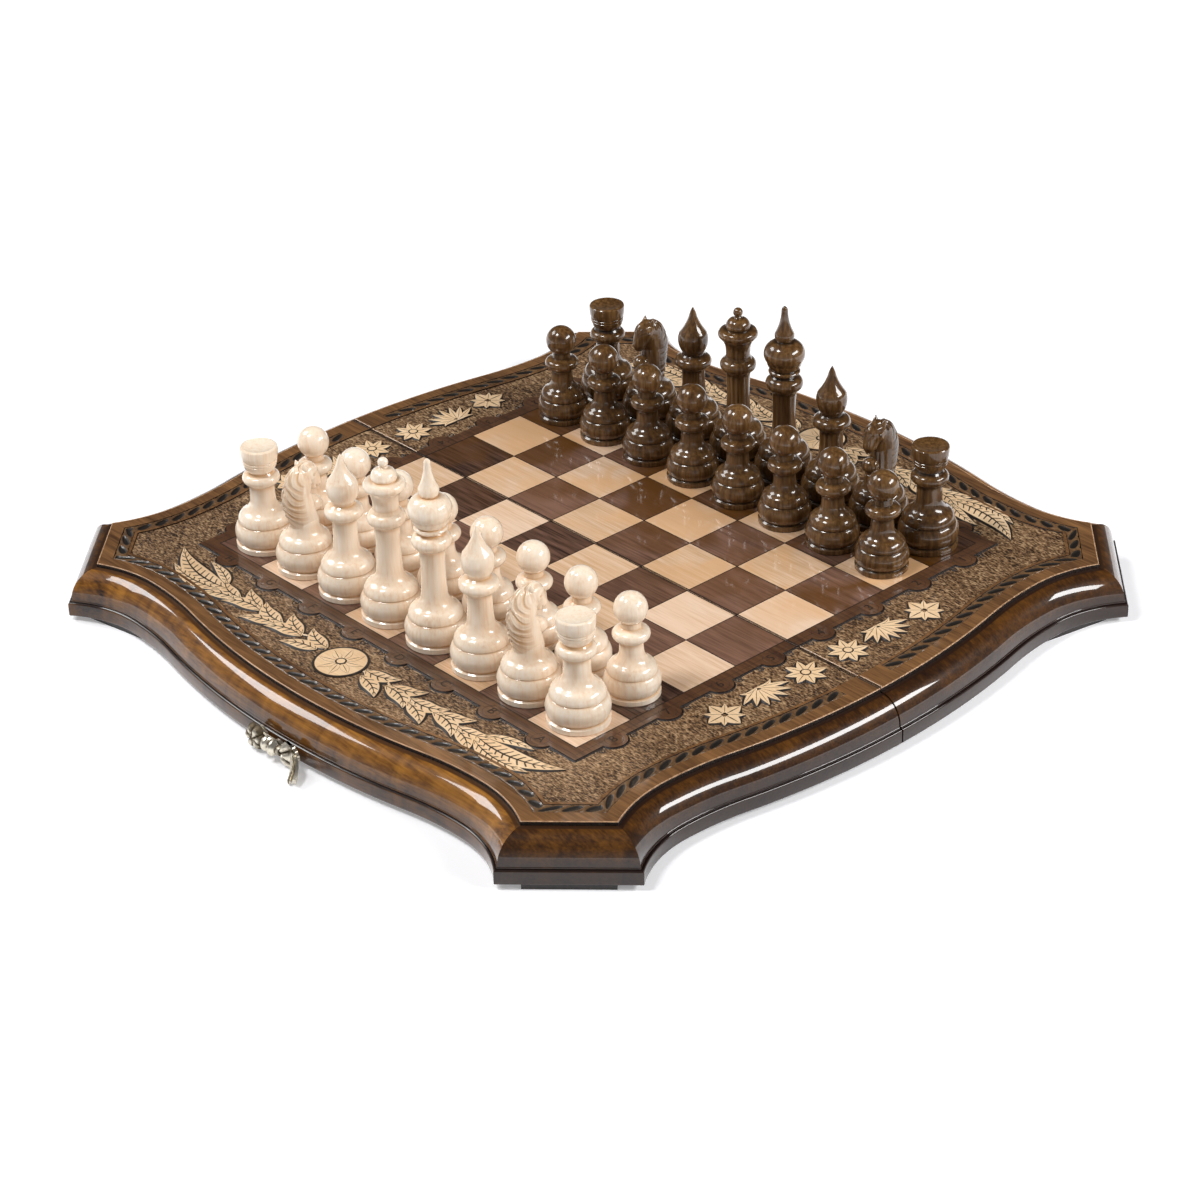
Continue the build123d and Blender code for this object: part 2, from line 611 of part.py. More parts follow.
def main():
    """Build every node and write one STEP for each."""
    os.makedirs("parts", exist_ok=True)
    side = side_moulding()
    corner = corner_moulding()
    whole_deck = whole_deck_plate()
    light_feet, dark_feet = feet()
    nodes = board_half("light_half", -1, side, corner, whole_deck, light_feet)
    nodes += board_half("dark_half", 1, side, corner, whole_deck, dark_feet)
    nodes += [
        ("hinge_pins", hinge_pins()),
        ("clasp_plate", clasp_plate()),
        ("clasp_arm", clasp_arm()),
        ("clasp_keeper", clasp_keeper()),
    ]
    nodes += chessmen()
    for name, shape in nodes:
        export_step(shape, f"parts/{name}.step")
    print(f"{len(nodes)} nodes written")


main()
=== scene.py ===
import logging
import math
from collections.abc import Sequence
from dataclasses import dataclass, field, replace
from enum import Enum

import bmesh
import bpy
import numpy as np
from mathutils import Matrix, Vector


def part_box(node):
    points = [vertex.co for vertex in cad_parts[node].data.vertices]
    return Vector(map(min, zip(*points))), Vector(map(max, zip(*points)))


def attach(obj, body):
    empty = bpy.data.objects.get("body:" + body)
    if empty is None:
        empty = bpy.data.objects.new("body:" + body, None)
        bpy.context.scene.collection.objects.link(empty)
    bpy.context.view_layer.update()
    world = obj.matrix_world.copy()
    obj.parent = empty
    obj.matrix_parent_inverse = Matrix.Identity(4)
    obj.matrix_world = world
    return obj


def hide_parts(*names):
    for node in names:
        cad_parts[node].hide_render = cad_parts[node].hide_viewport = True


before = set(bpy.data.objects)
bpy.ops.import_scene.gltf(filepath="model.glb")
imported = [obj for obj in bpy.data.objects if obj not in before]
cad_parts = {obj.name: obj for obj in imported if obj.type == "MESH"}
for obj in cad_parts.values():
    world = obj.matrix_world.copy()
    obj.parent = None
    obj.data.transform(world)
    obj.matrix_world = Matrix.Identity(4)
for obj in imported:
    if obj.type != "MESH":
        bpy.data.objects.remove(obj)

# Folding chess and backgammon board, dressed for the photograph. Sizes and places are in millimetres, and
# each finished mesh is brought to metres by MM. X runs along the seam, +Y from the light half to the dark
# half, +Z up, and the origin is the middle of the board on the table. The deck's top and its carved ground lie at
# TOP_LEVEL and GROUND_LEVEL. What is laid on a surface goes into it by SINK, and points nearer than MERGE, in
# metres, are one point.

MM = 0.001
TOP_LEVEL = 31.5
GROUND_LEVEL = 30.7
SQUARE = 40.0
HALF_FIELD = 4 * SQUARE
SINK = 0.05
MERGE = 2e-6
LOG = logging.getLogger("board")
Colour = tuple[float, float, float]
Marks = tuple[tuple[float, float, float], ...]


class Half(Enum):
    """The two halves of the board, each with the sign of its side of the seam."""

    LIGHT = -1
    DARK = 1

    @property
    def mirror(self) -> float:
        """The factor of Y that brings what is drawn for the light half to this one."""
        return -self.value

    @property
    def body(self) -> str:
        """The name of the body that carries this half, which also begins its nodes' names."""
        return "light_half" if self is Half.LIGHT else "dark_half"


class Grain(Enum):
    """The turn about Z, in degrees, that lays a finish's grain along a piece."""

    ALONG_X = 0
    ALONG_Y = 90
    RISING = 45


# Finishes


class Signal:
    """One output of a finish's nodes. Arithmetic on it adds the Math nodes that work it out."""

    def __init__(self, tree: "FinishTree", socket: bpy.types.NodeSocket) -> None:
        """Keep the output socket and the tree that it belongs to."""
        self.tree = tree
        self.socket = socket

    def maths(self, operation: str, *values: "Signal | float") -> "Signal":
        """The result of a Math node, which does the operation on the values in order."""
        return self.tree.node("ShaderNodeMath", {"operation": operation}, dict(enumerate(values)))

    def __add__(self, other: "Signal | float") -> "Signal":
        """self + other."""
        return self.maths("ADD", self, other)

    def __sub__(self, other: "Signal | float") -> "Signal":
        """self - other."""
        return self.maths("SUBTRACT", self, other)

    def __rsub__(self, other: float) -> "Signal":
        """other - self."""
        return self.maths("SUBTRACT", other, self)

    def __mul__(self, other: "Signal | float") -> "Signal":
        """self * other."""
        return self.maths("MULTIPLY", self, other)

    __radd__ = __add__
    __rmul__ = __mul__

    def size(self) -> "Signal":
        """The value without its sign."""
        return self.maths("ABSOLUTE", self)

    def larger(self, other: "Signal") -> "Signal":
        """The larger of two values."""
        return self.maths("MAXIMUM", self, other)

    def rise(self, low: float, high: float, first: float = 0.0, last: float = 1.0) -> "Signal":
        """A smooth step over the value, from the first level at the low end to the last one at the high end."""
        limits = {"Value": self, "From Min": low, "From Max": high, "To Min": first, "To Max": last}
        return self.tree.node("ShaderNodeMapRange", {"interpolation_type": "SMOOTHSTEP"}, limits)


class FinishTree:
    """The nodes of one material, or of the world, round its shader."""

    def __init__(self, name: str, world: bool = False, **constants: float | tuple[float, ...]) -> None:
        """Make the material or the world.

        Args:
            name: its name.
            world: whether it is the world.
            constants: values set on the shader's own sockets, with underscores for the spaces in their names.
        """
        self.owner = (bpy.data.worlds if world else bpy.data.materials).new(name)
        self.owner.use_nodes = True
        self.nodes = self.owner.node_tree.nodes
        self.links = self.owner.node_tree.links
        shader = "BACKGROUND" if world else "BSDF_PRINCIPLED"
        self.shader = next(node for node in self.nodes if node.type == shader)
        for socket, value in constants.items():
            self.shader.inputs[socket.replace("_", " ")].default_value = value

    def node(self, kind: str, settings: dict, inputs: dict, output: int | str = 0) -> Signal:
        """Add any node.

        Args:
            kind: the node's type.
            settings: its properties; a ramp's stops are pairs of place and colour under "stops".
            inputs: values or signals by socket name or number.
            output: the name or number of the output that is wanted.

        Returns:
            That output.
        """
        node = self.nodes.new(kind)
        for key, value in settings.items():
            if key != "stops":
                setattr(node, key, value)
        for number, (place, colour) in enumerate(settings.get("stops", ())):
            elements = node.color_ramp.elements
            stop = elements[number] if number < len(elements) else elements.new(place)
            stop.position = place
            stop.color = (*colour, 1.0)
        for socket, value in inputs.items():
            if isinstance(value, Signal):
                self.links.new(value.socket, node.inputs[socket])
            else:
                node.inputs[socket].default_value = value
        return Signal(self, node.outputs[output])

    def coordinates(self, output: str = "Object") -> Signal:
        """One output of a Texture Coordinate node, in metres if it is Object."""
        return self.node("ShaderNodeTexCoord", {}, {}, output)

    def place(self, stretch: tuple[float, float, float] = (1, 1, 1), turn: float = 0.0) -> Signal:
        """Object coordinates, turned about Z by so many degrees, then stretched along each axis."""
        inputs = {"Vector": self.coordinates(), "Rotation": (0, 0, math.radians(turn)), "Scale": stretch}
        return self.node("ShaderNodeMapping", {"vector_type": "POINT"}, inputs)

    def axis(self, name: str, output: str = "Object") -> Signal:
        """The X, Y or Z of an output of the Texture Coordinate node."""
        return self.node("ShaderNodeSeparateXYZ", {}, {"Vector": self.coordinates(output)}, name)

    def noise(self, vector: Signal, scale: float, detail: float = 3, bend: float = 0.0) -> Signal:
        """A noise texture, from 0 to 1, by its waves per metre, octaves and distortion."""
        inputs = {"Vector": vector, "Scale": scale, "Detail": detail, "Distortion": bend}
        return self.node("ShaderNodeTexNoise", {}, inputs)

    def cells(self, vector: Signal, scale: float) -> Signal:
        """The distance of a Voronoi texture, by its cells per metre."""
        return self.node("ShaderNodeTexVoronoi", {}, {"Vector": vector, "Scale": scale}, "Distance")

    def tint(self) -> Signal:
        """The piece's own attribute, from 0 to 1."""
        return self.node("ShaderNodeAttribute", {"attribute_name": "tint"}, {}, "Fac")

    def ramp(self, factor: Signal, *stops: tuple[float, Colour]) -> Signal:
        """A colour ramp over a value."""
        return self.node("ShaderNodeValToRGB", {"stops": stops}, {"Fac": factor})

    def blend(self, factor: Signal | float, first: Signal | Colour, second: Signal | Colour) -> Signal:
        """Mix two colours.

        Args:
            factor: 0 for the first colour, 1 for the second.
            first: a colour or a signal.
            second: a colour or a signal.

        Returns:
            The mixed colour.
        """
        pair = [colour if isinstance(colour, Signal) else (*colour, 1.0) for colour in (first, second)]
        settings = {"data_type": "RGBA", "clamp_factor": True}
        return self.node("ShaderNodeMix", settings, {0: factor, 6: pair[0], 7: pair[1]}, 2)

    def bump(self, height: Signal, depth: float, strength: float = 1.0) -> Signal:
        """A normal from a height, whose 1 stands for the depth in metres."""
        return self.node("ShaderNodeBump", {}, {"Height": height, "Distance": depth, "Strength": strength})

    def finish(self, **sockets: Signal) -> bpy.types.Material | bpy.types.World:
        """Link signals to the shader.

        Args:
            sockets: signals by the names of its sockets, with underscores for spaces.

        Returns:
            The finished material or world.
        """
        for socket, signal in sockets.items():
            self.links.new(signal.socket, self.shader.inputs[socket.replace("_", " ")])
        return self.owner


@dataclass(frozen=True)
class RailLacquer:
    """Stained and lacquered moulding, figured across its length: amber on the upper round and near black below, partly
    a sunburst stain and partly painted shade, with painted shade in its quirk and under its bead.
    """

    grain: Grain
    amber: Colour = (0.440, 0.188, 0.028)
    brown: Colour = (0.175, 0.067, 0.011)
    black: Colour = (0.014, 0.006, 0.004)
    # Painted shade: the colour of the quirk groove at the top of the ovolo.
    hollow: Colour = (0.085, 0.036, 0.012)
    shade_from: float = 0.011
    shade_to: float = 0.026
    quirk_level: float = 0.0289
    bead_level: float = 0.0121

    @property
    def name(self) -> str:
        """Its name, which says how its grain lies."""
        return f"rail_lacquer_{self.grain.name.lower()}"

    def material(self) -> bpy.types.Material:
        """The finish as a material: coat over a stain whose tone follows height, pores and figure; the darkening low
        down is partly stain and partly painted shade.

        Returns:
            The material.
        """
        tree = FinishTree(self.name, Coat_Weight=1.0, Coat_Roughness=0.04, Specular_IOR_Level=0.12)
        along = self.grain.value
        pores = tree.noise(tree.place((6, 90, 90), along), 9.0, 4)
        figure = tree.noise(tree.place((34, 7, 7), along), 2.4, 3, 0.7)
        streaks = tree.noise(tree.place((3, 40, 40), along), 6.0, 2)
        tone = pores * 0.35 + figure * 0.45 + streaks * 0.3
        height = tree.axis("Z")
        # Partly a sunburst stain, partly painted shade: low down the moulding takes the darker ramp deep.
        light = height.rise(self.shade_from, self.shade_to)
        stain = tree.ramp(tone, (0.34, self.black), (0.50, self.brown), (0.74, self.amber))
        deep = tree.ramp(tone, (0.40, self.black), (0.78, self.brown))
        # Painted shade in the quirk: above quirk_level the moulding takes the hollow colour.
        groove = height.rise(self.quirk_level, self.quirk_level + 0.0001)
        # Painted shade: a black line in the groove under the bead.
        line = (height - self.bead_level).size().rise(0.00045, 0.0002)
        face = tree.blend(line, tree.blend(light, deep, stain), self.black)
        colour = tree.blend(groove, face, self.hollow)
        rough = 0.30 + pores * 0.15
        return tree.finish(Base_Color=colour, Roughness=rough, Normal=tree.bump(pores, 0.00012, 0.25))


@dataclass(frozen=True)
class DeckWood:
    """The carved deck: lacquered margin and band at the top level, stippled ground below, plain underside."""

    name: str = "carved_deck"
    top_level: float = TOP_LEVEL * MM
    ground_level: float = GROUND_LEVEL * MM
    band_reach: float = 0.1772
    margin_dark: Colour = (0.062, 0.027, 0.011)
    margin_light: Colour = (0.265, 0.128, 0.048)
    band_dark: Colour = (0.052, 0.022, 0.011)
    band_light: Colour = (0.155, 0.072, 0.033)
    ground_dark: Colour = (0.022, 0.009, 0.004)
    ground_light: Colour = (0.210, 0.114, 0.052)
    ground_fleck: Colour = (0.50, 0.335, 0.185)
    # Painted shade on the steep walls of the carving.
    wall: Colour = (0.016, 0.008, 0.005)
    under: Colour = (0.20, 0.10, 0.045)

    def material(self) -> bpy.types.Material:
        """The finish as a material: the height picks margin or ground, and the plan place picks the band.

        Returns:
            The material.
        """
        tree = FinishTree(self.name, Coat_Roughness=0.10, Specular_IOR_Level=0.3)
        fibres = tree.noise(tree.place((7, 120, 120)), 7.0, 4)
        broad = tree.noise(tree.place((5, 22, 22)), 3.0, 3, 0.5)
        tone = fibres * 0.6 + broad * 0.45
        margin = tree.ramp(tone, (0.36, self.margin_dark), (0.68, self.margin_light))
        band = tree.ramp(tone, (0.36, self.band_dark), (0.70, self.band_light))
        reach = tree.axis("X").size().larger(tree.axis("Y").size())
        inside = reach.rise(self.band_reach + 0.0004, self.band_reach)
        top = tree.blend(inside, margin, band)
        marks = tree.noise(tree.place((0.7, 2.1, 1.0), 35.0), 400.0, 2, 1.2)
        crumbs = tree.cells(tree.place((0.8, 2.0, 1.0), 35.0), 480.0)
        patches = tree.noise(tree.place(), 26.0, 2)
        stipple = marks * 0.75 + crumbs * 0.35 + patches * 0.22
        ground = tree.ramp(stipple, (0.53, self.ground_dark), (0.69, self.ground_light), (0.88, self.ground_fleck))
        height = tree.axis("Z")
        raised = height.rise(self.ground_level + 0.0002, self.top_level - 0.0002)
        carved = tree.blend(raised, ground, top)
        lower = height.rise(self.ground_level - 0.0035, self.ground_level - 0.0025)
        level = tree.blend(lower, tree.blend(broad, self.band_dark, self.under), carved)
        # Painted shade: steep faces, the walls of the cuts, are painted near black with the wall colour.
        flat = tree.axis("Z", "Normal").size().rise(0.4, 0.8)
        colour = tree.blend(flat, self.wall, level)
        depth = fibres * 0.10 * raised + stipple * (1 - raised)
        rough = 0.30 + (1 - raised) * 0.22
        coat = (0.25 + raised * 0.65) * flat
        bump = tree.bump(depth, 0.0011, 0.8)
        return tree.finish(Base_Color=colour, Roughness=rough, Coat_Weight=coat, Normal=bump)


@dataclass(frozen=True)
class Veneer:
    """Sliced veneer with straight fine grain, each square of its own tone."""

    name: str
    dark: Colour
    light: Colour
    # Painted reflection of the dark men on the squares.
    warm: Colour
    square: float = SQUARE * MM
    pore_share: float = 0.6
    warm_share: float = 0.9

    def material(self) -> bpy.types.Material:
        """The finish as a material: fine streaks along X, a random tone for each square, and warmer clouds on the dark
        half, a painted reflection of the dark men.

        Returns:
            The material.
        """
        tree = FinishTree(self.name, Coat_Weight=1.0, Coat_Roughness=0.07, Specular_IOR_Level=0.25)
        pores = tree.noise(tree.place((7, 150, 150)), 6.0, 4)
        streaks = tree.noise(tree.place((2.2, 44, 44)), 5.0, 3, 0.3)
        step = (self.square, self.square, 1.0)
        cell = tree.node("ShaderNodeVectorMath", {"operation": "SNAP"}, {0: tree.place(), 1: step})
        chance = tree.node("ShaderNodeTexWhiteNoise", {}, {"Vector": cell}, "Value")
        tone = pores * self.pore_share + streaks * (0.9 - self.pore_share) + chance * 0.26 - 0.03
        wood = tree.ramp(tone, (0.34, self.dark), (0.70, self.light))
        # Painted reflection: warm clouds on the dark half, where the dark men stand over the squares.
        clouds = tree.noise(tree.place(), 24.0, 2, 0.8).rise(0.34, 0.62)
        near_dark_men = tree.axis("Y").rise(-0.06, 0.09)
        colour = tree.blend(clouds * self.warm_share * near_dark_men, wood, self.warm)
        rough = 0.28 + pores * 0.18
        return tree.finish(Base_Color=colour, Roughness=rough, Normal=tree.bump(pores, 0.0001, 0.3))


@dataclass(frozen=True)
class TurnedWood:
    """Polished turned wood: fine upright grain under a clear lacquer."""

    name: str
    deep: Colour
    base: Colour
    pale: Colour
    # Painted shade in the creases.
    hollow: Colour
    fleck_share: float

    def material(self) -> bpy.types.Material:
        """The finish as a material: long upright streaks, short pores and a slow change of tone.

        Returns:
            The material.
        """
        tree = FinishTree(self.name, Coat_Weight=1.0, Coat_Roughness=0.035, Specular_IOR_Level=0.15)
        streaks = tree.noise(tree.place((150, 150, 7)), 3.0, 4, 0.4)
        pores = tree.noise(tree.place((330, 330, 26)), 3.2, 3)
        slow = tree.noise(tree.place((1, 1, 0.6)), 42.0, 2)
        tone = streaks * (0.75 - self.fleck_share) + pores * self.fleck_share + slow * 0.34
        wood = tree.ramp(tone, (0.36, self.deep), (0.53, self.base), (0.74, self.pale))
        # Painted shade: the attribute blends in the hollow colour, in the creases of the men and the locks of the
        # knights' manes.
        colour = tree.blend(tree.tint() * 0.85, wood, self.hollow)
        rough = 0.26 + pores * 0.12
        return tree.finish(Base_Color=colour, Roughness=rough, Normal=tree.bump(pores, 0.00008, 0.2))


@dataclass(frozen=True)
class CarvedRelief:
    """Flat relief: pale scraped wood inside, dark where the piece's attribute says so, burnt on the leaves and painted
    shade in the chain's gouges and cuts.
    """

    name: str
    face: Colour
    shaded: Colour
    # The dark colour: burnt lines on the leaves, painted shade in the chain.
    burnt: Colour
    coat: float = 0.5

    def material(self) -> bpy.types.Material:
        """The finish as a material: the attribute blends the wood into its dark colour, a burnt edge on the leaves and
        painted shade in the chain.

        Returns:
            The material.
        """
        tree = FinishTree(self.name, Coat_Weight=self.coat, Coat_Roughness=0.15)
        fibres = tree.noise(tree.place((7, 130, 130)), 7.0, 4)
        slow = tree.noise(tree.place(), 60.0, 2)
        wood = tree.ramp(fibres * 0.6 + slow * 0.4, (0.35, self.shaded), (0.65, self.face))
        burn_and_shade = (tree.tint() + (slow - 0.5) * 0.25).rise(0.25, 0.75)
        colour = tree.blend(burn_and_shade, wood, self.burnt)
        rough = 0.34 + burn_and_shade * 0.15
        return tree.finish(Base_Color=colour, Roughness=rough, Normal=tree.bump(fibres, 0.0001, 0.4))


@dataclass(frozen=True)
class AgedMetal:
    """Cast metal with dark hollows and rubbed edges."""

    name: str
    bright: Colour
    hollow: Colour
    rough: float = 0.30

    def material(self) -> bpy.types.Material:
        """The finish as a material: patches of tarnish by noise, and darker where the attribute says so.

        Returns:
            The material.
        """
        tree = FinishTree(self.name, Metallic=1.0)
        patches = tree.noise(tree.place(), 520.0, 4)
        fine = tree.noise(tree.place(), 2600.0, 3)
        tarnish = (patches * 0.8 + fine * 0.3 + tree.tint() * 0.7).rise(0.45, 1.05)
        colour = tree.blend(tarnish, self.bright, self.hollow)
        rough = self.rough + tarnish * 0.3
        return tree.finish(Base_Color=colour, Roughness=rough, Normal=tree.bump(fine, 0.00008, 0.5))


@dataclass(frozen=True)
class StainedBlock:
    """Plain stained wood for feet and the hidden rail."""

    name: str
    dark: Colour
    light: Colour
    coat: float = 0.3

    def material(self) -> bpy.types.Material:
        """The finish as a material: streaks along X and a faint pore bump.

        Returns:
            The material.
        """
        tree = FinishTree(self.name, Coat_Weight=self.coat, Coat_Roughness=0.2)
        streaks = tree.noise(tree.place((5, 90, 90)), 8.0, 4)
        colour = tree.ramp(streaks, (0.35, self.dark), (0.68, self.light))
        rough = 0.42 + streaks * 0.2
        return tree.finish(Base_Color=colour, Roughness=rough, Normal=tree.bump(streaks, 0.0001, 0.4))


def palette() -> dict[str, bpy.types.Material]:
    """Make every finish of the object.

    Returns:
        The materials by their names.
    """
    finishes = (
        # Painted light and shade: one rail stain in three copies, brightest on the end rails, darker on the corner
        # blocks and darkest on the side rails, each with its own quirk colour.
        RailLacquer(Grain.ALONG_X),
        RailLacquer(Grain.ALONG_Y, (0.130, 0.050, 0.009), (0.038, 0.015, 0.005), hollow=(0.024, 0.010, 0.005)),
        RailLacquer(Grain.RISING, (0.170, 0.066, 0.010), (0.050, 0.019, 0.005), hollow=(0.040, 0.017, 0.007)),
        DeckWood(),
        # The third colour of each veneer is the painted reflection of the dark men.
        Veneer("pale_veneer", (0.60, 0.37, 0.20), (0.86, 0.63, 0.46), (0.74, 0.43, 0.21)),
        Veneer("brown_veneer", (0.024, 0.011, 0.007), (0.240, 0.126, 0.084), (0.110, 0.040, 0.003)),
        # The fourth colour of each turned wood is painted shade in the creases and the knights' manes.
        TurnedWood(
            "ivory_lacquer", (0.86, 0.62, 0.42), (0.96, 0.79, 0.61), (0.99, 0.89, 0.76), (0.62, 0.33, 0.12), 0.26
        ),
        TurnedWood(
            "dark_lacquer", (0.034, 0.014, 0.005), (0.098, 0.046, 0.014), (0.24, 0.126, 0.045), (0.007, 0.003, 0.001),
            0.20,
        ),
        # chain_wood's dark colour is painted shade in the gouges and cuts.
        CarvedRelief("chain_wood", (0.200, 0.108, 0.047), (0.075, 0.038, 0.018), (0.008, 0.005, 0.003), 0.45),
        CarvedRelief("leaf_relief", (0.86, 0.64, 0.41), (0.74, 0.49, 0.27), (0.010, 0.006, 0.004), 0.0),
        # Burnt lines and letters, and painted shade along the seam.
        StainedBlock("burnt_line_and_seam_shade", (0.006, 0.004, 0.003), (0.016, 0.009, 0.006), 0.0),
        # Painted highlight: pale lines along the deck's edge, and at the seam partly wear.
        StainedBlock("highlight_and_worn_edge", (0.34, 0.18, 0.085), (0.66, 0.40, 0.22), 0.8),
        StainedBlock("under_rail", (0.050, 0.022, 0.012), (0.15, 0.070, 0.032)),
        StainedBlock("feet_wood", (0.008, 0.006, 0.006), (0.030, 0.020, 0.016)),
        AgedMetal("clasp_pewter", (0.80, 0.74, 0.62), (0.13, 0.10, 0.065)),
        AgedMetal("hinge_brass", (0.62, 0.45, 0.20), (0.16, 0.10, 0.045)),
    )
    return {finish.name: finish.material() for finish in finishes}


# Surfaces


SLOTS = {
    "rail_lacquer_along_x": "rail_wood",
    "rail_lacquer_along_y": "rail_wood",
    "rail_lacquer_rising": "rail_wood",
    "chain_wood": "carved_ground",
    "burnt_line_and_seam_shade": "carved_ground",
    "highlight_and_worn_edge": "carved_ground",
    "leaf_relief": "pale_inlay",
    "clasp_pewter": "clasp_metal",
    "ivory_lacquer": "light_men",
    "dark_lacquer": "dark_men",
}


@dataclass
class Patch:
    """One surface of a piece: a grid of points, rows by columns by three, whose columns close round each row.

    The tint is its attribute, one value or a grid that fits the points. A capped surface gets an end face over its
    first and its last row; one whose ends run together in a point needs none.
    """

    points: np.ndarray
    tint: np.ndarray | float = 0.0
    capped: bool = True

    def tints(self) -> np.ndarray:
        """The attribute of every point, in one row."""
        return np.broadcast_to(self.tint, self.points.shape[:2]).reshape(-1)

    def faces(self, first: int) -> list[list[int]]:
        """The quads between neighbouring points, and the end faces.

        Args:
            first: the number of the grid's first point in the mesh.

        Returns:
            The point numbers of each face.
        """
        rows, columns = self.points.shape[:2]
        index = np.arange(rows * columns).reshape(rows, columns) + first
        around = np.hstack([index, index[:, :1]])
        corners = (around[:-1, :-1], around[1:, :-1], around[1:, 1:], around[:-1, 1:])
        faces = np.stack(corners, axis=-1).reshape(-1, 4).tolist()
        if self.capped:
            faces += [index[0].tolist(), index[-1, ::-1].tolist()]
        return faces

    def mirrored(self, x: float, y: float) -> "Patch":
        """The surface mirrored in X or Y, each factor being 1 or -1."""
        return replace(self, points=flip(self.points, x, y))


def add_object(name: str, data: bpy.types.ID) -> bpy.types.Object:
    """Put a mesh, text, lamp or camera into the scene.

    Args:
        name: the object's name.
        data: what it shows.

    Returns:
        The object.
    """
    thing = bpy.data.objects.new(name, data)
    bpy.context.scene.collection.objects.link(thing)
    return thing


def mount(mesh: bpy.types.Mesh, finish: bpy.types.Material, body: str) -> bpy.types.Object:
    """Make a mesh, drawn in place, a piece of the object under its own name.

    Args:
        mesh: its mesh.
        finish: its material.
        body: the body that it rides on.

    Returns:
        The piece.
    """
    mesh.materials.append(finish)
    piece = add_object(mesh.name, mesh)
    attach(piece, body)
    SLOTS[finish.name]
    LOG.info("%s: %d faces on %s", piece.name, len(mesh.polygons), body)
    return piece


def build_piece(name: str, patches: Sequence[Patch], finish: bpy.types.Material, body: str,
                nodes: Sequence[str] = (), crease: float = 32.0) -> None:
    """Make one closed piece of the object from its surfaces.

    Args:
        name: the piece's name.
        patches: its surfaces, in millimetres.
        finish: its material.
        body: the body that it rides on.
        nodes: the CAD nodes that it stands for.
        crease: the angle in degrees from which an edge is drawn sharp.
    """
    starts = np.cumsum([0] + [patch.points[..., 0].size for patch in patches])
    points = np.concatenate([patch.points.reshape(-1, 3) for patch in patches]) * MM
    faces = [face for start, patch in zip(starts, patches) for face in patch.faces(int(start))]
    mesh = bpy.data.meshes.new(name)
    mesh.from_pydata(points, [], faces)
    tint = mesh.attributes.new("tint", "FLOAT", "POINT")
    tint.data.foreach_set("value", np.concatenate([patch.tints() for patch in patches]).astype(np.float32))
    merged = bmesh.new()
    merged.from_mesh(mesh)
    bmesh.ops.remove_doubles(merged, verts=merged.verts, dist=MERGE)
    bmesh.ops.recalc_face_normals(merged, faces=merged.faces)
    merged.to_mesh(mesh)
    merged.free()
    mesh.shade_smooth()
    mesh.set_sharp_from_angle(angle=math.radians(crease))
    piece = mount(mesh, finish, body)
    if nodes:
        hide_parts(*nodes)


def dress_node(node: str, finish: bpy.types.Material) -> None:
    """Give a CAD node, whose shape stays, one finish all over.

    Args:
        node: its name.
        finish: the material.
    """
    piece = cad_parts[node]
    piece.data.materials.clear()
    piece.data.materials.append(finish)
    LOG.info("%s: finished as %s", node, finish.name)


def flip(points: np.ndarray, x: float = 1, y: float = 1) -> np.ndarray:
    """Points mirrored in X or Y, each factor being 1 or -1."""
    return points * np.array((x, y, 1.0)[: points.shape[-1]])


def bell(value: np.ndarray, middle: float, width: float, power: int = 2) -> np.ndarray:
    """The bell curve exp(-((value - middle) / width) to the power)."""
    return np.exp(-(((value - middle) / width) ** power))


def unit(vectors: np.ndarray) -> np.ndarray:
    """Vectors along the last axis, brought to a length of 1."""
    return vectors / np.maximum(np.linalg.norm(vectors, axis=-1, keepdims=True), 1e-9)


def left_of(path: np.ndarray) -> np.ndarray:
    """The unit vector to the left at each point of a plan path."""
    along = unit(np.gradient(path, axis=0))
    return np.stack([-along[:, 1], along[:, 0]], axis=-1)


def path_length(path: np.ndarray) -> np.ndarray:
    """The length along a line of plan or profile points, up to each of them."""
    return np.concatenate([[0], np.cumsum(np.hypot(*np.diff(path, axis=0).T))])


def full_turn(count: int) -> np.ndarray:
    """Angles in even steps round a circle, the last one a step before the first."""
    return np.linspace(0, 2 * np.pi, count, endpoint=False)


def lathe(profile: np.ndarray, middle: Sequence[float], sides: int) -> Patch:
    """A turned surface: each profile point (r, z) goes round as (r cos a, r sin a, z) about an upright axis.

    Args:
        profile: points (radius, height), whose first and last lie on the axis.
        middle: the axis's foot, as (x, y, z).
        sides: points round the axis.

    Returns:
        The surface, whose poles close when doubles are merged.
    """
    turn = full_turn(sides)
    radius, height = profile[:, :1], profile[:, 1:]
    points = np.stack([radius * np.cos(turn), radius * np.sin(turn), height + 0 * turn], axis=-1)
    return Patch(points + np.array(middle), capped=False)


def arc_stretch(start: Sequence[float], end: Sequence[float], swell: float, step: float) -> np.ndarray:
    """Points after the start of a round stretch whose middle stands off its chord by the swell.

    With chord c and swell s the arc turns by 4 atan(2 s / c). A point at the share t of that turn lies at
    R sin(a) along the chord from its middle and R (cos a - cos(turn / 2)) beside it, where a = turn (t - 1/2).

    Args:
        start: first (radius, height).
        end: last (radius, height).
        swell: the stand-off, positive away from the axis.
        step: the distance between points.

    Returns:
        The points, without the start.
    """
    first, last = np.array(start, dtype=float), np.array(end, dtype=float)
    chord = last - first
    length = float(np.hypot(*chord))
    count = max(1, round((length + 2 * abs(swell)) / step))
    share = np.linspace(0, 1, count + 1)[1:, None]
    if not swell:
        return first + share * chord
    turn = 4 * math.atan(2 * swell / length)
    radius = length / (2 * math.sin(turn / 2))
    angle = turn * (share - 0.5)
    along = chord / length
    beside = np.array((along[1], -along[0]))
    lift = radius * (np.cos(angle) - math.cos(turn / 2))
    return first + (radius * np.sin(angle) + length / 2) * along + lift * beside


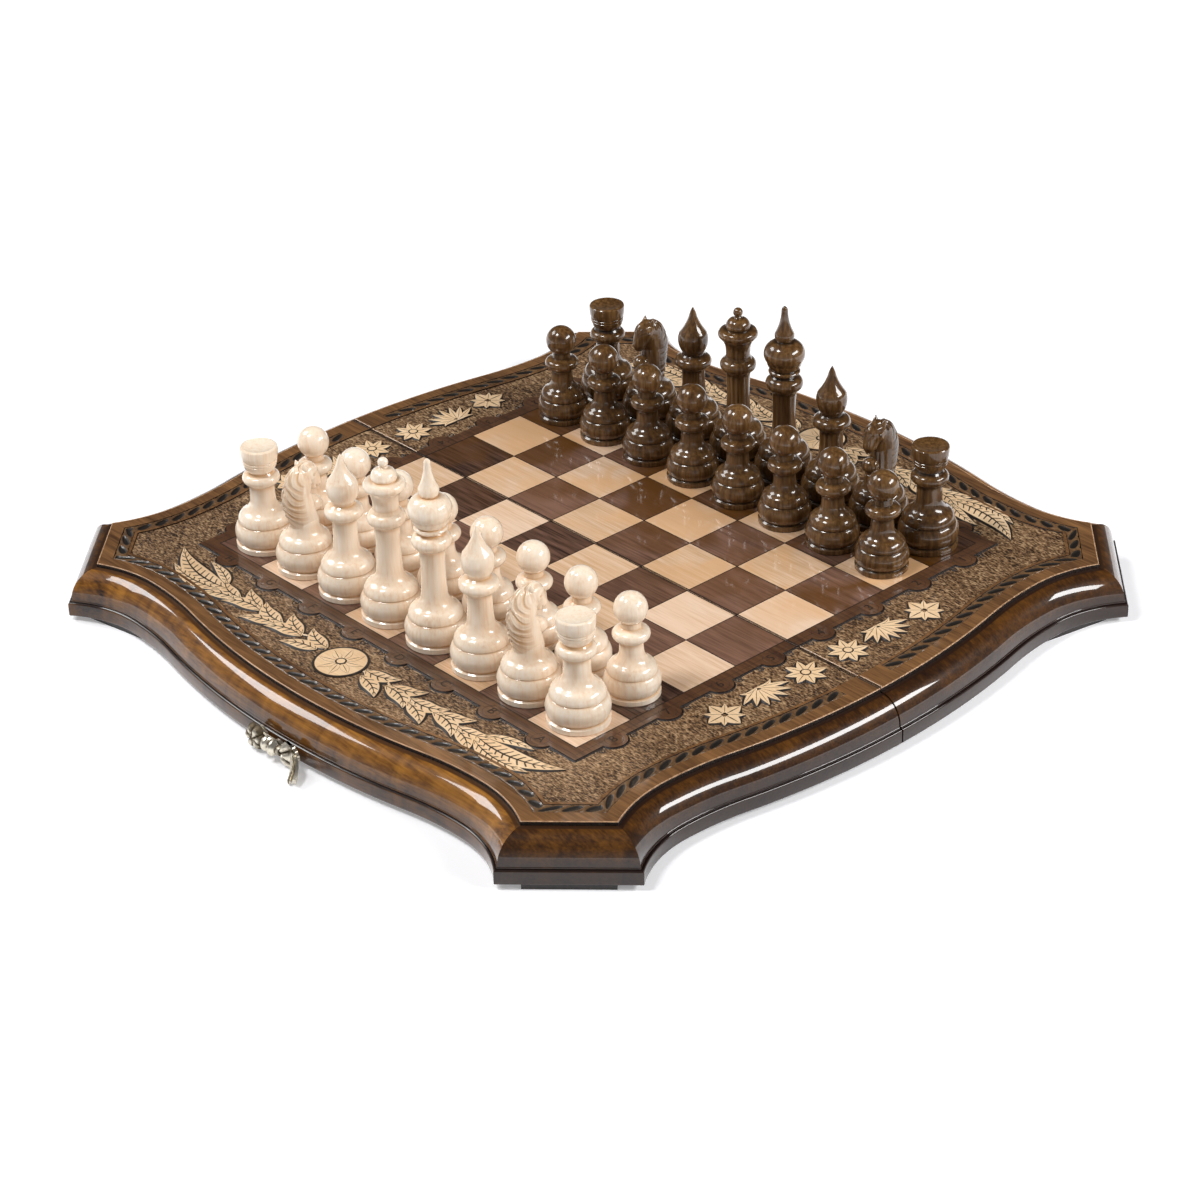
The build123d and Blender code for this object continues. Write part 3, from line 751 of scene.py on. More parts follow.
def turned_profile(marks: Marks, step: float = 1.1) -> np.ndarray:
    """The lathe line through a man's marks, starting on the axis.

    Args:
        marks: (radius, height, swell of the stretch that comes to it), in order.
        step: the distance between points.

    Returns:
        Points (radius, height).
    """
    stretches = [np.array([[0.0, marks[0][1]], marks[0][:2]])]
    for start, end in zip(marks, marks[1:]):
        stretches.append(arc_stretch(start[:2], end[:2], end[2], step))
    return np.concatenate(stretches)


@dataclass(frozen=True)
class Plan:
    """The serpentine plan outline: every side is a long bulge between two hollows, and the corners are cut."""

    edge_reach: float = 233.0
    bulge_radius: float = 500.0
    bulge_angle: float = math.radians(12)
    hollow_radius: float = 220.0
    flare_radius: float = 90.0
    flare_angle: float = math.radians(28)

    @property
    def hollow_centre(self) -> tuple[float, float]:
        """The centre of the right hollow of the -Y side, on the line through the bulge's end.

        Returns:
            Its X and Y.
        """
        reach = self.bulge_radius + self.hollow_radius
        x = reach * math.sin(self.bulge_angle)
        return x, self.bulge_radius - self.edge_reach - reach * math.cos(self.bulge_angle)

    @property
    def flare_centre(self) -> tuple[float, float]:
        """The centre of the flare beside the right corner, straight above the hollow's."""
        x, y = self.hollow_centre
        return x, y + self.hollow_radius - self.flare_radius

    def corner(self, outward: np.ndarray | float) -> np.ndarray:
        """Where the flare meets the front right corner's chamfer, both moved outward.

        The chamfer is a line at 45 degrees, moved by the offset, and the flare a circle whose radius loses it.

        Args:
            outward: one or more offsets.

        Returns:
            The plan points, offsets by two.
        """
        out = np.atleast_1d(np.asarray(outward, dtype=float))
        start = self.flare_radius * (math.sin(self.flare_angle) - math.cos(self.flare_angle))
        across = start / math.sqrt(2) + out
        along = np.sqrt((self.flare_radius - out) ** 2 - across**2)
        x, y = self.flare_centre
        return np.stack([x + (across + along) / math.sqrt(2), y + (along - across) / math.sqrt(2)], axis=-1)

    def half_side(self, outward: np.ndarray, gap: float, step: float) -> np.ndarray:
        """The right half of the -Y side, from its middle to the corner.

        Bulge, hollow and flare are circle arcs about fixed centres, with radius plus offset on the bulge and
        radius less offset on the other two. The bulge starts where it is a gap away from the middle line.

        Args:
            outward: offsets of the wanted lines from the deck's edge.
            gap: the distance kept from the middle line.
            step: the distance between points.

        Returns:
            Plan points, offsets by stations by two.
        """
        out = np.asarray(outward, dtype=float)[:, None]
        bulge, hollow, flare = (self.bulge_radius + out, self.hollow_radius - out, self.flare_radius - out)
        end = self.corner(outward)
        flare_x, flare_y = self.flare_centre
        hollow_x, hollow_y = self.hollow_centre
        last = np.arctan2(end[:, :1] - flare_x, end[:, 1:] - flare_y)
        shares = [
            np.linspace(0, 1, max(2, round(length / step)) + 1)
            for length in (
                self.bulge_radius * self.bulge_angle,
                self.hollow_radius * self.bulge_angle,
                self.flare_radius * self.flare_angle,
            )
        ]
        first = np.arcsin(gap / bulge)
        on_bulge = first + (self.bulge_angle - first) * shares[0]
        on_hollow = self.bulge_angle * (1 - shares[1][1:])
        on_flare = last * shares[2][1:]
        x = [bulge * np.sin(on_bulge), hollow_x - hollow * np.sin(on_hollow), flare_x + flare * np.sin(on_flare)]
        y = [
            self.bulge_radius - self.edge_reach - bulge * np.cos(on_bulge),
            hollow_y + hollow * np.cos(on_hollow),
            flare_y + flare * np.cos(on_flare),
        ]
        return np.stack([np.concatenate(x, axis=1), np.concatenate(y, axis=1)], axis=-1)

    def end_side(self, outward: np.ndarray, step: float) -> np.ndarray:
        """The whole -Y side from its left corner to its right one, as offsets by stations by two."""
        right = self.half_side(outward, 0.0, step)
        return np.concatenate([flip(right[:, :0:-1], -1), right], axis=1)

    def right_side(self, outward: np.ndarray, gap: float, step: float) -> np.ndarray:
        """The front part of the +X side from the corner to the seam, as offsets by stations by two."""
        return -self.half_side(outward, gap, step)[:, ::-1, ::-1]

    def chamfer(self, outward: np.ndarray, count: int) -> np.ndarray:
        """The front right chamfer from the -Y side to the +X side.

        Args:
            outward: offsets of the wanted lines.
            count: the number of steps.

        Returns:
            Plan points, offsets by stations by two.
        """
        start = self.corner(outward)[:, None]
        share = np.linspace(0, 1, count + 1)[:, None]
        return start + share * (-start[..., ::-1] - start)

    def half_loop(self, outward: np.ndarray, gap: float, step: float) -> np.ndarray:
        """The outline of the light half from the seam at -X round to the seam at +X.

        Args:
            outward: offsets of the wanted lines.
            gap: the distance kept from the seam.
            step: the distance between points.

        Returns:
            Plan points, offsets by stations by two.
        """
        start = self.corner(0.0)[0]
        count = max(2, round(float(np.hypot(*(start + start[::-1]))) / step))
        end = self.end_side(outward, step)
        chamfer = self.chamfer(outward, count)
        side = self.right_side(outward, gap, step)
        right = np.concatenate([chamfer[:, 1:], side[:, 1:]], axis=1)
        return np.concatenate([flip(right[:, ::-1], -1), end, right], axis=1)


def at_levels(plan: np.ndarray, levels: np.ndarray | float) -> np.ndarray:
    """Plan points given a height, which is one value or one for each row."""
    heights = np.broadcast_to(np.asarray(levels, dtype=float).reshape(-1, *[1] * (plan.ndim - 2)), plan.shape[:-1])
    return np.concatenate([plan, heights[..., None]], axis=-1)


def ribbon(path: np.ndarray, width: float, level: float, rise: float, tint: float = 1.0) -> Patch:
    """A thin line laid on a surface: a flat triangle carried along a plan path.

    Args:
        path: plan points.
        width: the line's width.
        level: the height of the surface.
        rise: how far the line's ridge stands above it.
        tint: its attribute.

    Returns:
        The closed surface.
    """
    beside = left_of(path) * width / 2
    sides = np.stack([path - beside, path, path + beside])
    levels = np.array([level - SINK, level + rise, level - SINK])
    return Patch(at_levels(sides, levels).transpose(1, 0, 2), tint)


# Board


@dataclass
class EdgeMoulding:
    """The mitred serpentine moulding of both halves: end rails, corner blocks and side rails."""

    plan: Plan = field(default_factory=Plan)
    rim_level: float = 3.0
    fascia_top: float = 12.2
    deck_bottom: float = 22.5
    ovolo_top: float = 29.1
    fascia_out: float = 17.0
    bevel: float = 1.3
    groove: float = 0.25
    bead_out: float = 15.2
    bead_lip: float = 0.1
    bead_rise: float = 0.9
    bead_round: float = 0.35
    ovolo_start: float = 1.2
    seat_clearance: float = 0.1
    rail_wall: float = 11.2
    seam_gap: float = 0.55
    station_step: float = 3.0
    crease: float = 28.0

    def section(self) -> tuple[np.ndarray, np.ndarray]:
        """The moulding's outer line from the rim's bottom edge up to the deck's seat.

        It is a fascia with quarter round edges, a small bead, and an ovolo whose point at the turn a is
        (start + width cos a, bead + height sin a), then the floor of the quirk and the wall along the deck.

        Returns:
            The offsets and the heights of its points.
        """
        bead = self.fascia_top + self.bead_rise
        face = self.fascia_out - self.bevel
        quarter = np.linspace(0, np.pi / 2, 5)
        sweep = np.linspace(0, np.pi / 2, 22)
        small = np.linspace(0, np.pi / 2, 4)
        width, height = self.bead_out - self.ovolo_start, self.ovolo_top - bead
        out = np.concatenate([
            face + self.bevel * np.sin(quarter),
            face + self.bevel * np.cos(quarter),
            [self.bead_out + self.bead_lip, self.bead_out],
            self.bead_out - self.bead_round * (1 - np.cos(small)),
            self.ovolo_start + (width - self.bead_round) * np.cos(sweep),
            [self.seat_clearance] * 2,
        ])
        up = np.concatenate([
            self.rim_level + self.bevel * (1 - np.cos(quarter)),
            self.fascia_top - self.bevel * (1 - np.sin(quarter)),
            [self.fascia_top - self.groove] * 2,
            bead - self.bead_round * (1 - np.sin(small)),
            bead + height * np.sin(sweep),
            [self.ovolo_top, self.deck_bottom],
        ])
        return out, up

    def well_reach(self) -> float:
        """How far the well's walls stand from the middle of the board."""
        return -(self.plan.hollow_centre[1] + self.plan.hollow_radius) - self.rail_wall

    def mitre_inner(self) -> float:
        """Where the mitre line, through the deck's corner and the fascia's, meets the well's wall.

        Returns:
            The distance along that wall from its middle.
        """
        edge = self.plan.corner(0.0)[0]
        fascia = self.plan.corner(self.fascia_out)[0]
        slope = (fascia[0] - edge[0]) / (fascia[1] - edge[1])
        return float(edge[0] + slope * (-self.well_reach() - edge[1]))

    def rail(self, lines: np.ndarray, wall: np.ndarray, levels: np.ndarray) -> Patch:
        """One stretch of moulding as a closed solid.

        Args:
            lines: plan points of the outer line, offsets by stations by two.
            wall: plan points of the well's wall, stations by two.
            levels: the heights of the outer line.

        Returns:
            The surface, with its section going round as columns.
        """
        outer = at_levels(lines, levels)
        inner = [at_levels(wall[None], level) for level in (self.deck_bottom, self.rim_level)]
        loop = np.concatenate([outer, *inner], axis=0)
        return Patch(loop.transpose(1, 0, 2))

    def build(self, half: Half, finishes: dict[str, bpy.types.Material]) -> None:
        """Build the rails and corner blocks of one half.

        Args:
            half: which half.
            finishes: the materials by name.
        """
        offsets, levels = self.section()
        wall, mitre = self.well_reach(), self.mitre_inner()
        end = self.plan.end_side(offsets, self.station_step)
        middle = end[np.argmin(np.abs(offsets))]
        end_wall = np.stack([middle[:, 0] * mitre / middle[-1, 0], np.full(len(middle), -wall)], axis=-1)
        side = self.plan.right_side(offsets, self.seam_gap, self.station_step)
        line = side[np.argmin(np.abs(offsets))]
        share = (line[:, 1] - line[0, 1]) / (line[-1, 1] - line[0, 1])
        side_wall = np.stack([np.full(len(line), wall), -mitre + share * (mitre - self.seam_gap)], axis=-1)
        block = self.plan.chamfer(offsets, 2)
        block_wall = np.array([(mitre, -wall), (wall, -wall), (wall, -mitre)])
        name = half.body
        pieces = {
            "end_rail": (self.rail(end, end_wall, levels), (1,), "rail_lacquer_along_x"),
            "right_rail": (self.rail(side, side_wall, levels), (1,), "rail_lacquer_along_y"),
            "left_rail": (self.rail(side, side_wall, levels), (-1,), "rail_lacquer_along_y"),
            "corner_blocks": (self.rail(block, block_wall, levels), (1, -1), "rail_lacquer_rising"),
        }
        for kind, (patch, mirrors, finish) in pieces.items():
            patches = [patch.mirrored(mirror, half.mirror) for mirror in mirrors]
            build_piece(f"{name}_{kind}_moulding", patches, finishes[finish], name, [f"{name}_{kind}"], self.crease)


@dataclass
class CarvedDeck:
    """The deck and what is cut into it: the chain, the edge line and the burnt lines round the tabs."""

    plan: Plan = field(default_factory=Plan)
    channel_floor: float = 30.3
    chain_inset: float = 12.4
    chain_width: float = 7.4
    chain_pitch: float = 11.4
    chain_stop: float = 18.1
    chain_step: float = 0.62
    chain_rise: float = 0.12
    gouge_depth: float = 0.95
    edge_gap: float = 0.35
    edge_step: float = 3.0
    band_width: float = 8.8
    tab_radius: float = 8.4
    tab_inset: float = 1.6
    outline_place: float = 0.55
    outline_width: float = 1.2
    curl_radius: float = 2.6
    curl_width: float = 0.85
    burnt_rise: float = 0.35
    ring_radius: float = 5.7
    ring_width: float = 0.5
    ring_rise: float = 0.05
    field_lines: tuple[tuple[float, float], ...] = ((0.2, 0.9), (5.2, 0.6))
    square_line: float = 0.60
    line_rise: float = 0.04
    seam_inset: float = 0.85
    # The dark seam line, painted shade in the gap.
    seam_width: float = 1.1
    seam_rise: float = 0.1
    # The pale line at the seam: partly wear, partly a painted highlight.
    worn_width: float = 0.7
    worn_rise: float = 0.25
    margin_start: float = 216.0
    margin_end: float = 232.4

    def chain(self) -> Patch:
        """The carved chain along the edge, as a height over the path length s and the place across w.

        The share q of the pitch at s, slanted by 0.42 w, makes a lobe. Inside it a teardrop gouge goes down where
        1 - ((q - 0.45) / 0.42) squared - (w / (1.1 - 0.45 q)) squared is above nought. The lobe is rounded by
        0.25 w squared, and outside |w| = 0.80 + 0.16 sin(pi q) the sides are cut away.

        Returns:
            The closed surface, whose attribute, painted shade, is 1 in a gouge and in the cuts beside the lobes.
        """
        across = np.linspace(-1, 1, 17)
        offsets = -self.chain_inset + across * self.chain_width / 2
        lines = self.plan.half_loop(offsets, self.chain_stop, self.chain_step)
        length = path_length(lines[len(across) // 2])
        links = round(length[-1] / self.chain_pitch)
        side = across[:, None]
        share = (length / length[-1] * links + 0.42 * side) % 1.0
        body = 1 - ((share - 0.45) / 0.42) ** 2 - (side / (1.1 - 0.45 * share)) ** 2
        gouge = np.clip(1.5 * body, 0, 1) ** 1.1
        cut = np.clip((np.abs(side) - 0.80 - 0.16 * np.sin(np.pi * share)) / 0.1, 0, 1)
        seam = np.clip(1 - np.minimum(share, 1 - share) / 0.07, 0, 1)
        drop = self.gouge_depth * gouge + 0.25 * side**2 + 0.7 * np.maximum(cut, 0.5 * seam)
        top = np.concatenate([lines, (TOP_LEVEL + self.chain_rise - drop)[..., None]], axis=-1)
        floor = [at_levels(lines[row][None], self.channel_floor) for row in (-1, 0)]
        points = np.concatenate([top, *floor], axis=0).transpose(1, 0, 2)
        # Painted shade: the gouges, the cuts beside the lobes and the seams between links are darkened.
        dark = np.clip(gouge * 1.45 + 0.85 * cut + 0.5 * seam, 0, 1)
        return Patch(points, np.concatenate([dark, np.ones((2, len(length)))]).T)

    def edge_line(self) -> Patch:
        """The bright line along the deck's top edge, a painted highlight: a half round 0.9 wide laid over the corner.

        Returns:
            The closed surface.
        """
        turn = np.linspace(0, np.pi, 7)
        offsets = -0.35 + 0.45 * np.cos(turn)
        levels = TOP_LEVEL - 0.25 + 0.36 * np.sin(turn)
        lines = at_levels(self.plan.half_loop(offsets, self.edge_gap, self.edge_step), levels)
        return Patch(lines.transpose(1, 0, 2))

    def seam_edge(self) -> list[Patch]:
        """The pale line beside a seam, on the ground and on the margin: partly wear where the two halves rub, partly a
        painted highlight.

        Returns:
            Its four stretches.
        """
        return [
            ribbon(self.seam_line(start, end, 2, mirror), self.worn_width, level, self.worn_rise)
            for mirror in (-1, 1)
            for start, end, level in self.seam_stretches()[1:]
        ]

    def seam_line(self, start: float, end: float, insets: float, mirror: int) -> np.ndarray:
        """The plan points of a stretch that runs beside the seam at so many of its insets."""
        return np.array([(mirror * start, -insets * self.seam_inset), (mirror * end, -insets * self.seam_inset)])

    def seam_stretches(self) -> tuple[tuple[float, float, float], ...]:
        """The seam's stretches over field and band, ground, and margin, each as (start, end, level)."""
        reach, start, top = HALF_FIELD + self.band_width, self.margin_start, TOP_LEVEL
        return (0.0, reach, top), (reach, start, GROUND_LEVEL), (start, self.margin_end, top)

    def tab_path(self, place: float) -> np.ndarray:
        """The outline of the tabs along half a side of the band, as (along, outward) points.

        Each tab is a circle about a point just inside the band's edge; between tabs the line is straight.

        Args:
            place: the line's distance outside the tabs' true outline.

        Returns:
            The points from the corner inward, with four tabs.
        """
        radius = self.tab_radius + place
        reach = HALF_FIELD + self.band_width
        rise = self.tab_inset + place
        open_angle = math.asin(rise / radius)
        turn = np.linspace(np.pi - open_angle, open_angle, 15)
        starts = (np.arange(4) + 0.5) * SQUARE - HALF_FIELD
        along = starts[:, None] + radius * np.cos(turn)
        outward = reach - self.tab_inset + radius * np.sin(turn) + 0 * along
        corner = np.array([[-(reach + place), reach + place]])
        tabs = np.stack([along, outward], axis=-1).reshape(-1, 2)
        return np.concatenate([corner, tabs, [[0.0, reach + place]]])

    @staticmethod
    def curl(centre: tuple[float, float], radius: float, hand: float, last: float, shrink: float,
             lead: float = 0.0) -> np.ndarray:
        """A curl round a point, whose radius shrinks evenly with the turn a.

        A point is (cos(a - lead), -sin(a + lead)) times the radius from the centre.

        Args:
            centre: its middle, as (along, outward).
            radius: its first radius.
            hand: 1 or -1, which way it turns.
            last: the turn at its end, in radians.
            shrink: the share of the radius that is lost by then.
            lead: a quarter turn for a curl that opens upward, else 0.

        Returns:
            The points, as (along, outward).
        """
        turn = np.linspace(0.35, last, 40)
        size = radius * (1 - shrink * turn / last)
        along = centre[0] + hand * size * np.cos(turn - lead)
        return np.stack([along, centre[1] - size * np.sin(turn + lead)], axis=-1)

    def band_lines(self) -> list[Patch]:
        """The dark lines: burnt round the tabs, the curls, two by the field and between the squares, and painted shade
        at the seam.

        Returns:
            One surface for each line.
        """
        reach = HALF_FIELD + self.band_width
        shapes = [(self.tab_path(self.outline_place), self.outline_width, GROUND_LEVEL, self.burnt_rise)]
        for number in range(4):
            middle = (number + 0.5) * SQUARE - HALF_FIELD
            for hand in (-1, 1):
                centre = (middle + hand * (self.tab_radius + self.curl_radius + 1), reach + self.curl_radius)
                curl = self.curl(centre, self.curl_radius, hand, 9.4, 0.78)
                shapes.append((curl, self.curl_width, GROUND_LEVEL, self.burnt_rise))
            ring = self.curl((middle, reach - self.tab_inset + 0.8), self.ring_radius, 1.0, 5.9, 0.14, 1.57)
            shapes.append((ring, self.ring_width, TOP_LEVEL, self.ring_rise))
        for inset, width in self.field_lines:
            edge = HALF_FIELD + inset
            shapes.append((np.array([(-edge, edge), (0.0, edge)]), width, TOP_LEVEL, self.line_rise))
        for number in range(5):
            across = np.array([(0.0, number * SQUARE), (HALF_FIELD, number * SQUARE)])
            shapes.append((across, self.square_line, TOP_LEVEL, self.line_rise))
        # Painted shade: a dark ribbon along each side of the seam, over field, band, ground and margin.
        patches = [
            ribbon(self.seam_line(start, end, 1, mirror), self.seam_width, level, self.seam_rise)
            for start, end, level in self.seam_stretches()
            for mirror in (1, -1)
        ]
        for path, width, level, rise in shapes:
            end = np.stack([path[:, 0], -np.maximum(path[:, 1], self.seam_inset)], axis=-1)
            side = np.stack([path[:, 1], -np.maximum(np.abs(path[:, 0]), self.seam_inset)], axis=-1)
            lines = (end, flip(end, -1), side, flip(side, -1))
            patches += [ribbon(line, width, level, rise) for line in lines]
        return patches

    def build(self, half: Half, finishes: dict[str, bpy.types.Material]) -> None:
        """Dress the deck of one half and add its chain and lines.

        Args:
            half: which half.
            finishes: the materials by name.
        """
        name = half.body
        dress_node(f"{name}_deck", finishes["carved_deck"])
        # Pale lines: a painted highlight on the deck's edge, and at the seam partly wear.
        pale_edges = [self.edge_line()] + (self.seam_edge() if half is Half.DARK else [])
        pieces = {
            "chain": ([self.chain()], "chain_wood", 70.0),
            "edge_line": (pale_edges, "highlight_and_worn_edge", 80.0),
            "band_lines": (self.band_lines(), "burnt_line_and_seam_shade", 32.0),
        }
        for kind, (patches, finish, crease) in pieces.items():
            placed = [patch.mirrored(1, half.mirror) for patch in patches]
            build_piece(f"{name}_{kind}", placed, finishes[finish], name, crease=crease)


@dataclass
class LeafRelief:
    """The raised carving: flowers and palmettes along the sides, leafy scrolls and a roundel along the ends."""

    roundel_place: float = 194.0
    roundel_radius: float = 16.5
    motif_reach: float = 192.0
    motif_places: tuple[float, float, float] = (17.0, 48.0, 80.0)
    motif_radius: float = 12.5
    button_sides: int = 40
    burnt_width: float = 1.7
    vein_pitch: float = 4.8
    leaf_step: float = 0.4
    leaf_drop: float = 0.02
    leaf_edge: float = 0.3
    leaf_arch: float = 0.15
    crease: float = 50.0

    def leaf(self, root: Sequence[float], tip: Sequence[float], width: float, bend: float = 0.0,
             level: float = TOP_LEVEL, veins: bool = True) -> Patch:
        """A flat carved leaf with burnt edges, a burnt midrib and burnt side veins that slant to the tip.

        The midrib goes from root to tip, moved sideways by bend 4 t (1 - t). The half width at t is the width
        times sin(pi t to the 0.75), and the top falls off by the arch times the square of the place across. There
        is a side vein for each pitch of length, which slants by 0.9 of a pitch from the midrib to the edge.

        Args:
            root: plan point of the stalk's end.
            tip: plan point of the tip.
            width: the half width at the widest.
            bend: sideways reach of the midrib at its middle.
            level: the height of the top.
            veins: whether the side veins are burnt in.

        Returns:
            The closed surface.
        """
        top = level - self.leaf_drop
        first, last = np.array(root, dtype=float), np.array(tip, dtype=float)
        chord = last - first
        length = float(np.hypot(*chord))
        share = np.linspace(0, 1, max(15, round(length / self.leaf_step)))[:, None]
        rib = first + share * chord + bend * 4 * share * (1 - share) * np.array((-chord[1], chord[0])) / length
        half_width = width * np.sin(np.pi * share**0.75)
        skirt = self.burnt_width * np.sin(np.pi * share) ** 0.3
        right = np.array([0.07, 0.11, 0.22, 0.33, 0.44, 0.55, 0.66, 0.78, 0.9, 1, 1])
        column = np.concatenate([-right[::-1], [0], right])[None]
        outer = np.zeros_like(column)
        outer[0, (0, -1)] = -1, 1
        places = column * half_width + outer * skirt
        plan = rib[:, None] + places[..., None] * left_of(rib)[:, None]
        heights = top - self.leaf_arch * (places / width) ** 2
        heights[:, 0] = heights[:, -1] = GROUND_LEVEL - SINK
        heights[:, 1] = heights[:, -2] = top - self.leaf_edge
        vein = np.abs((share * length / self.vein_pitch - 0.9 * np.abs(column)) % 1.0 - 0.5)
        tint = veins * 0.85 * np.clip((vein - 0.34) / 0.08, 0, 1) * np.clip((0.8 - np.abs(column)) / 0.1, 0, 1)
        middle = column.shape[1] // 2
        tint[:, (0, 1, middle - 1, middle, middle + 1, -2, -1)] = (1, 1, 0.7, 1, 0.7, 1, 1)
        points = np.concatenate([plan, heights[..., None]], axis=-1)
        return Patch(points, tint, capped=False)

    def button(self, centre: Sequence[float], radius: float, level: float, rim: float = 0.8) -> Patch:
        """A flat round boss with a burnt rim, as a short lathe shape.

        Args:
            centre: plan point of its middle.
            radius: its radius.
            level: the height of its top.
            rim: the width of the burnt rim.

        Returns:
            The closed surface.
        """
        stations = np.array([0, radius - rim - 0.5, radius - rim, radius, radius, 0])
        foot = GROUND_LEVEL - SINK
        heights = np.array([level, level, level - 0.05, level - 0.1, foot, foot])
        patch = lathe(np.stack([stations, heights], axis=-1), (*centre, 0), self.button_sides)
        patch.tint = np.array([0, 0, 1, 1, 1, 1.0])[:, None]
        return patch

    def fan(self, centre: Sequence[float], count: int, inner: float, outer: float, width: float,
            start: float = 0.0, spread: float = 360.0, level: float = TOP_LEVEL) -> list[Patch]:
        """Leaves set round a point.

        Args:
            centre: plan point of the middle.
            count: how many leaves.
            inner: distance of their roots.
            outer: distance of their tips.
            width: their half width.
            start: the turn of the first leaf in degrees.
            spread: the whole turn that they share in degrees.
            level: the height of their tops.

        Returns:
            One surface for each leaf.
        """
        gaps = count if spread == 360.0 else count - 1
        middle = np.array(centre, dtype=float)
        leaves = []
        for number in range(count):
            turn = math.radians(start + spread * number / gaps)
            way = np.array((math.cos(turn), math.sin(turn)))
            leaves.append(self.leaf(middle + inner * way, middle + outer * way, width, level=level, veins=False))
        return leaves

    def rosette(self, centre: Sequence[float], radius: float) -> list[Patch]:
        """A flower of eight petals round a boss."""
        petals = self.fan(centre, 8, radius * 0.16, radius, radius * 0.22, 22.5)
        return petals + [self.button(centre, radius * 0.26, TOP_LEVEL + 0.15, 0.6)]

    def quatrefoil(self, centre: Sequence[float], radius: float) -> list[Patch]:
        """Four broad leaves with four thin ones between them."""
        broad = self.fan(centre, 4, radius * 0.12, radius, radius * 0.34, 0.0)
        return broad + self.fan(centre, 4, radius * 0.15, radius * 0.92, radius * 0.16, 45.0)

    def palmette(self, centre: Sequence[float], radius: float, outward: float) -> list[Patch]:
        """A fan of seven leaves over two curled ones, opening away from the field.

        Args:
            centre: plan point of its middle.
            radius: half its width.
            outward: 1 on the right side of the board, -1 on the left.

        Returns:
            One surface for each leaf.
        """
        turn = 0.0 if outward > 0 else 180.0
        root = (centre[0] - outward * radius * 0.62, centre[1])
        leaves = self.fan(root, 7, radius * 0.2, radius * 1.55, radius * 0.17, turn - 66.0, 132.0)
        for hand in (-1, 1):
            tip = (root[0] - outward * radius * 0.1, root[1] + hand * radius * 0.95)
            leaves.append(self.leaf(root, tip, radius * 0.15, hand * outward * -radius * 0.18, veins=False))
        return leaves

    def side_motifs(self) -> list[Patch]:
        """Three different flowers on each side of the light half.

        Returns:
            The surfaces of all six.
        """
        patches = []
        for outward in (-1, 1):
            near, between, far = [(outward * self.motif_reach, -place) for place in self.motif_places]
            patches += self.rosette(near, self.motif_radius)
            patches += self.palmette(between, self.motif_radius, outward)
            patches += self.quatrefoil(far, self.motif_radius)
        return patches

    def end_band(self) -> list[Patch]:
        """The light end's band: a roundel, and leafy scrolls that run out to a long leaf at each side.

        Returns:
            The surfaces of the roundel and the leaves.
        """
        centre = (0.0, -self.roundel_place)
        patches = [self.button(centre, self.roundel_radius, TOP_LEVEL - 0.25, 1.3)]
        patches += self.fan(centre, 8, 3.0, self.roundel_radius - 2.4, 2.6, 22.5, level=TOP_LEVEL + 0.05)
        patches += [self.button(centre, 3.4, TOP_LEVEL + 0.2, 0.7)]
        scroll = (
            ((17, -190), (40, -182), 5.4, -3.0), ((20, -196), (43, -205), 5.0, 2.5),
            ((38, -193), (63, -201), 6.0, 4.0), ((40, -190), (61, -180), 5.2, -3.0),
            ((58, -191), (83, -183), 6.0, -4.0), ((60, -195), (82, -205), 5.0, 2.5),
            ((78, -192), (104, -201), 5.8, 4.5), ((80, -189), (102, -180), 4.8, -2.5),
            ((98, -191), (122, -184), 5.2, -3.5), ((100, -194), (121, -204), 4.8, 2.5),
            ((112, -190), (172, -178), 7.4, -7.0), ((116, -194), (160, -194), 5.4, -4.0),
            ((116, -187), (146, -177.5), 3.6, 2.0),
        )
        for root, tip, width, bend in scroll:
            for mirror in (1, -1):
                start, end = (root[0] * mirror, root[1]), (tip[0] * mirror, tip[1])
                patches.append(self.leaf(start, end, width, bend * mirror))
        return patches

    def end_stems(self) -> list[Patch]:
        """The wavy stem that joins the leaves of the end band: y = -190.5 + 3.5 sin(2 pi (x - 19) / 40).

        Returns:
            A burnt ribbon and a narrower pale one on it, for each side.
        """
        along = np.linspace(17, 112, 60)
        path = np.stack([along, -190.5 + 3.5 * np.sin(2 * np.pi * (along - 19) / 40)], axis=-1)
        return [
            ribbon(plan, width, GROUND_LEVEL, rise, tint)
            for plan in (path, flip(path, -1))
            for width, rise, tint in ((3.4, 0.45, 1.0), (2.2, 0.75, 0.0))
        ]

    def build(self, half: Half, finish: bpy.types.Material) -> None:
        """Add the carving of one half.

        Args:
            half: which half.
            finish: the material.
        """
        reliefs = {"side_relief": self.side_motifs(), "end_relief": self.end_band() + self.end_stems()}
        for kind, patches in reliefs.items():
            placed = [patch.mirrored(1, half.mirror) for patch in patches]
            build_piece(f"{half.body}_{kind}", placed, finish, half.body, crease=self.crease)


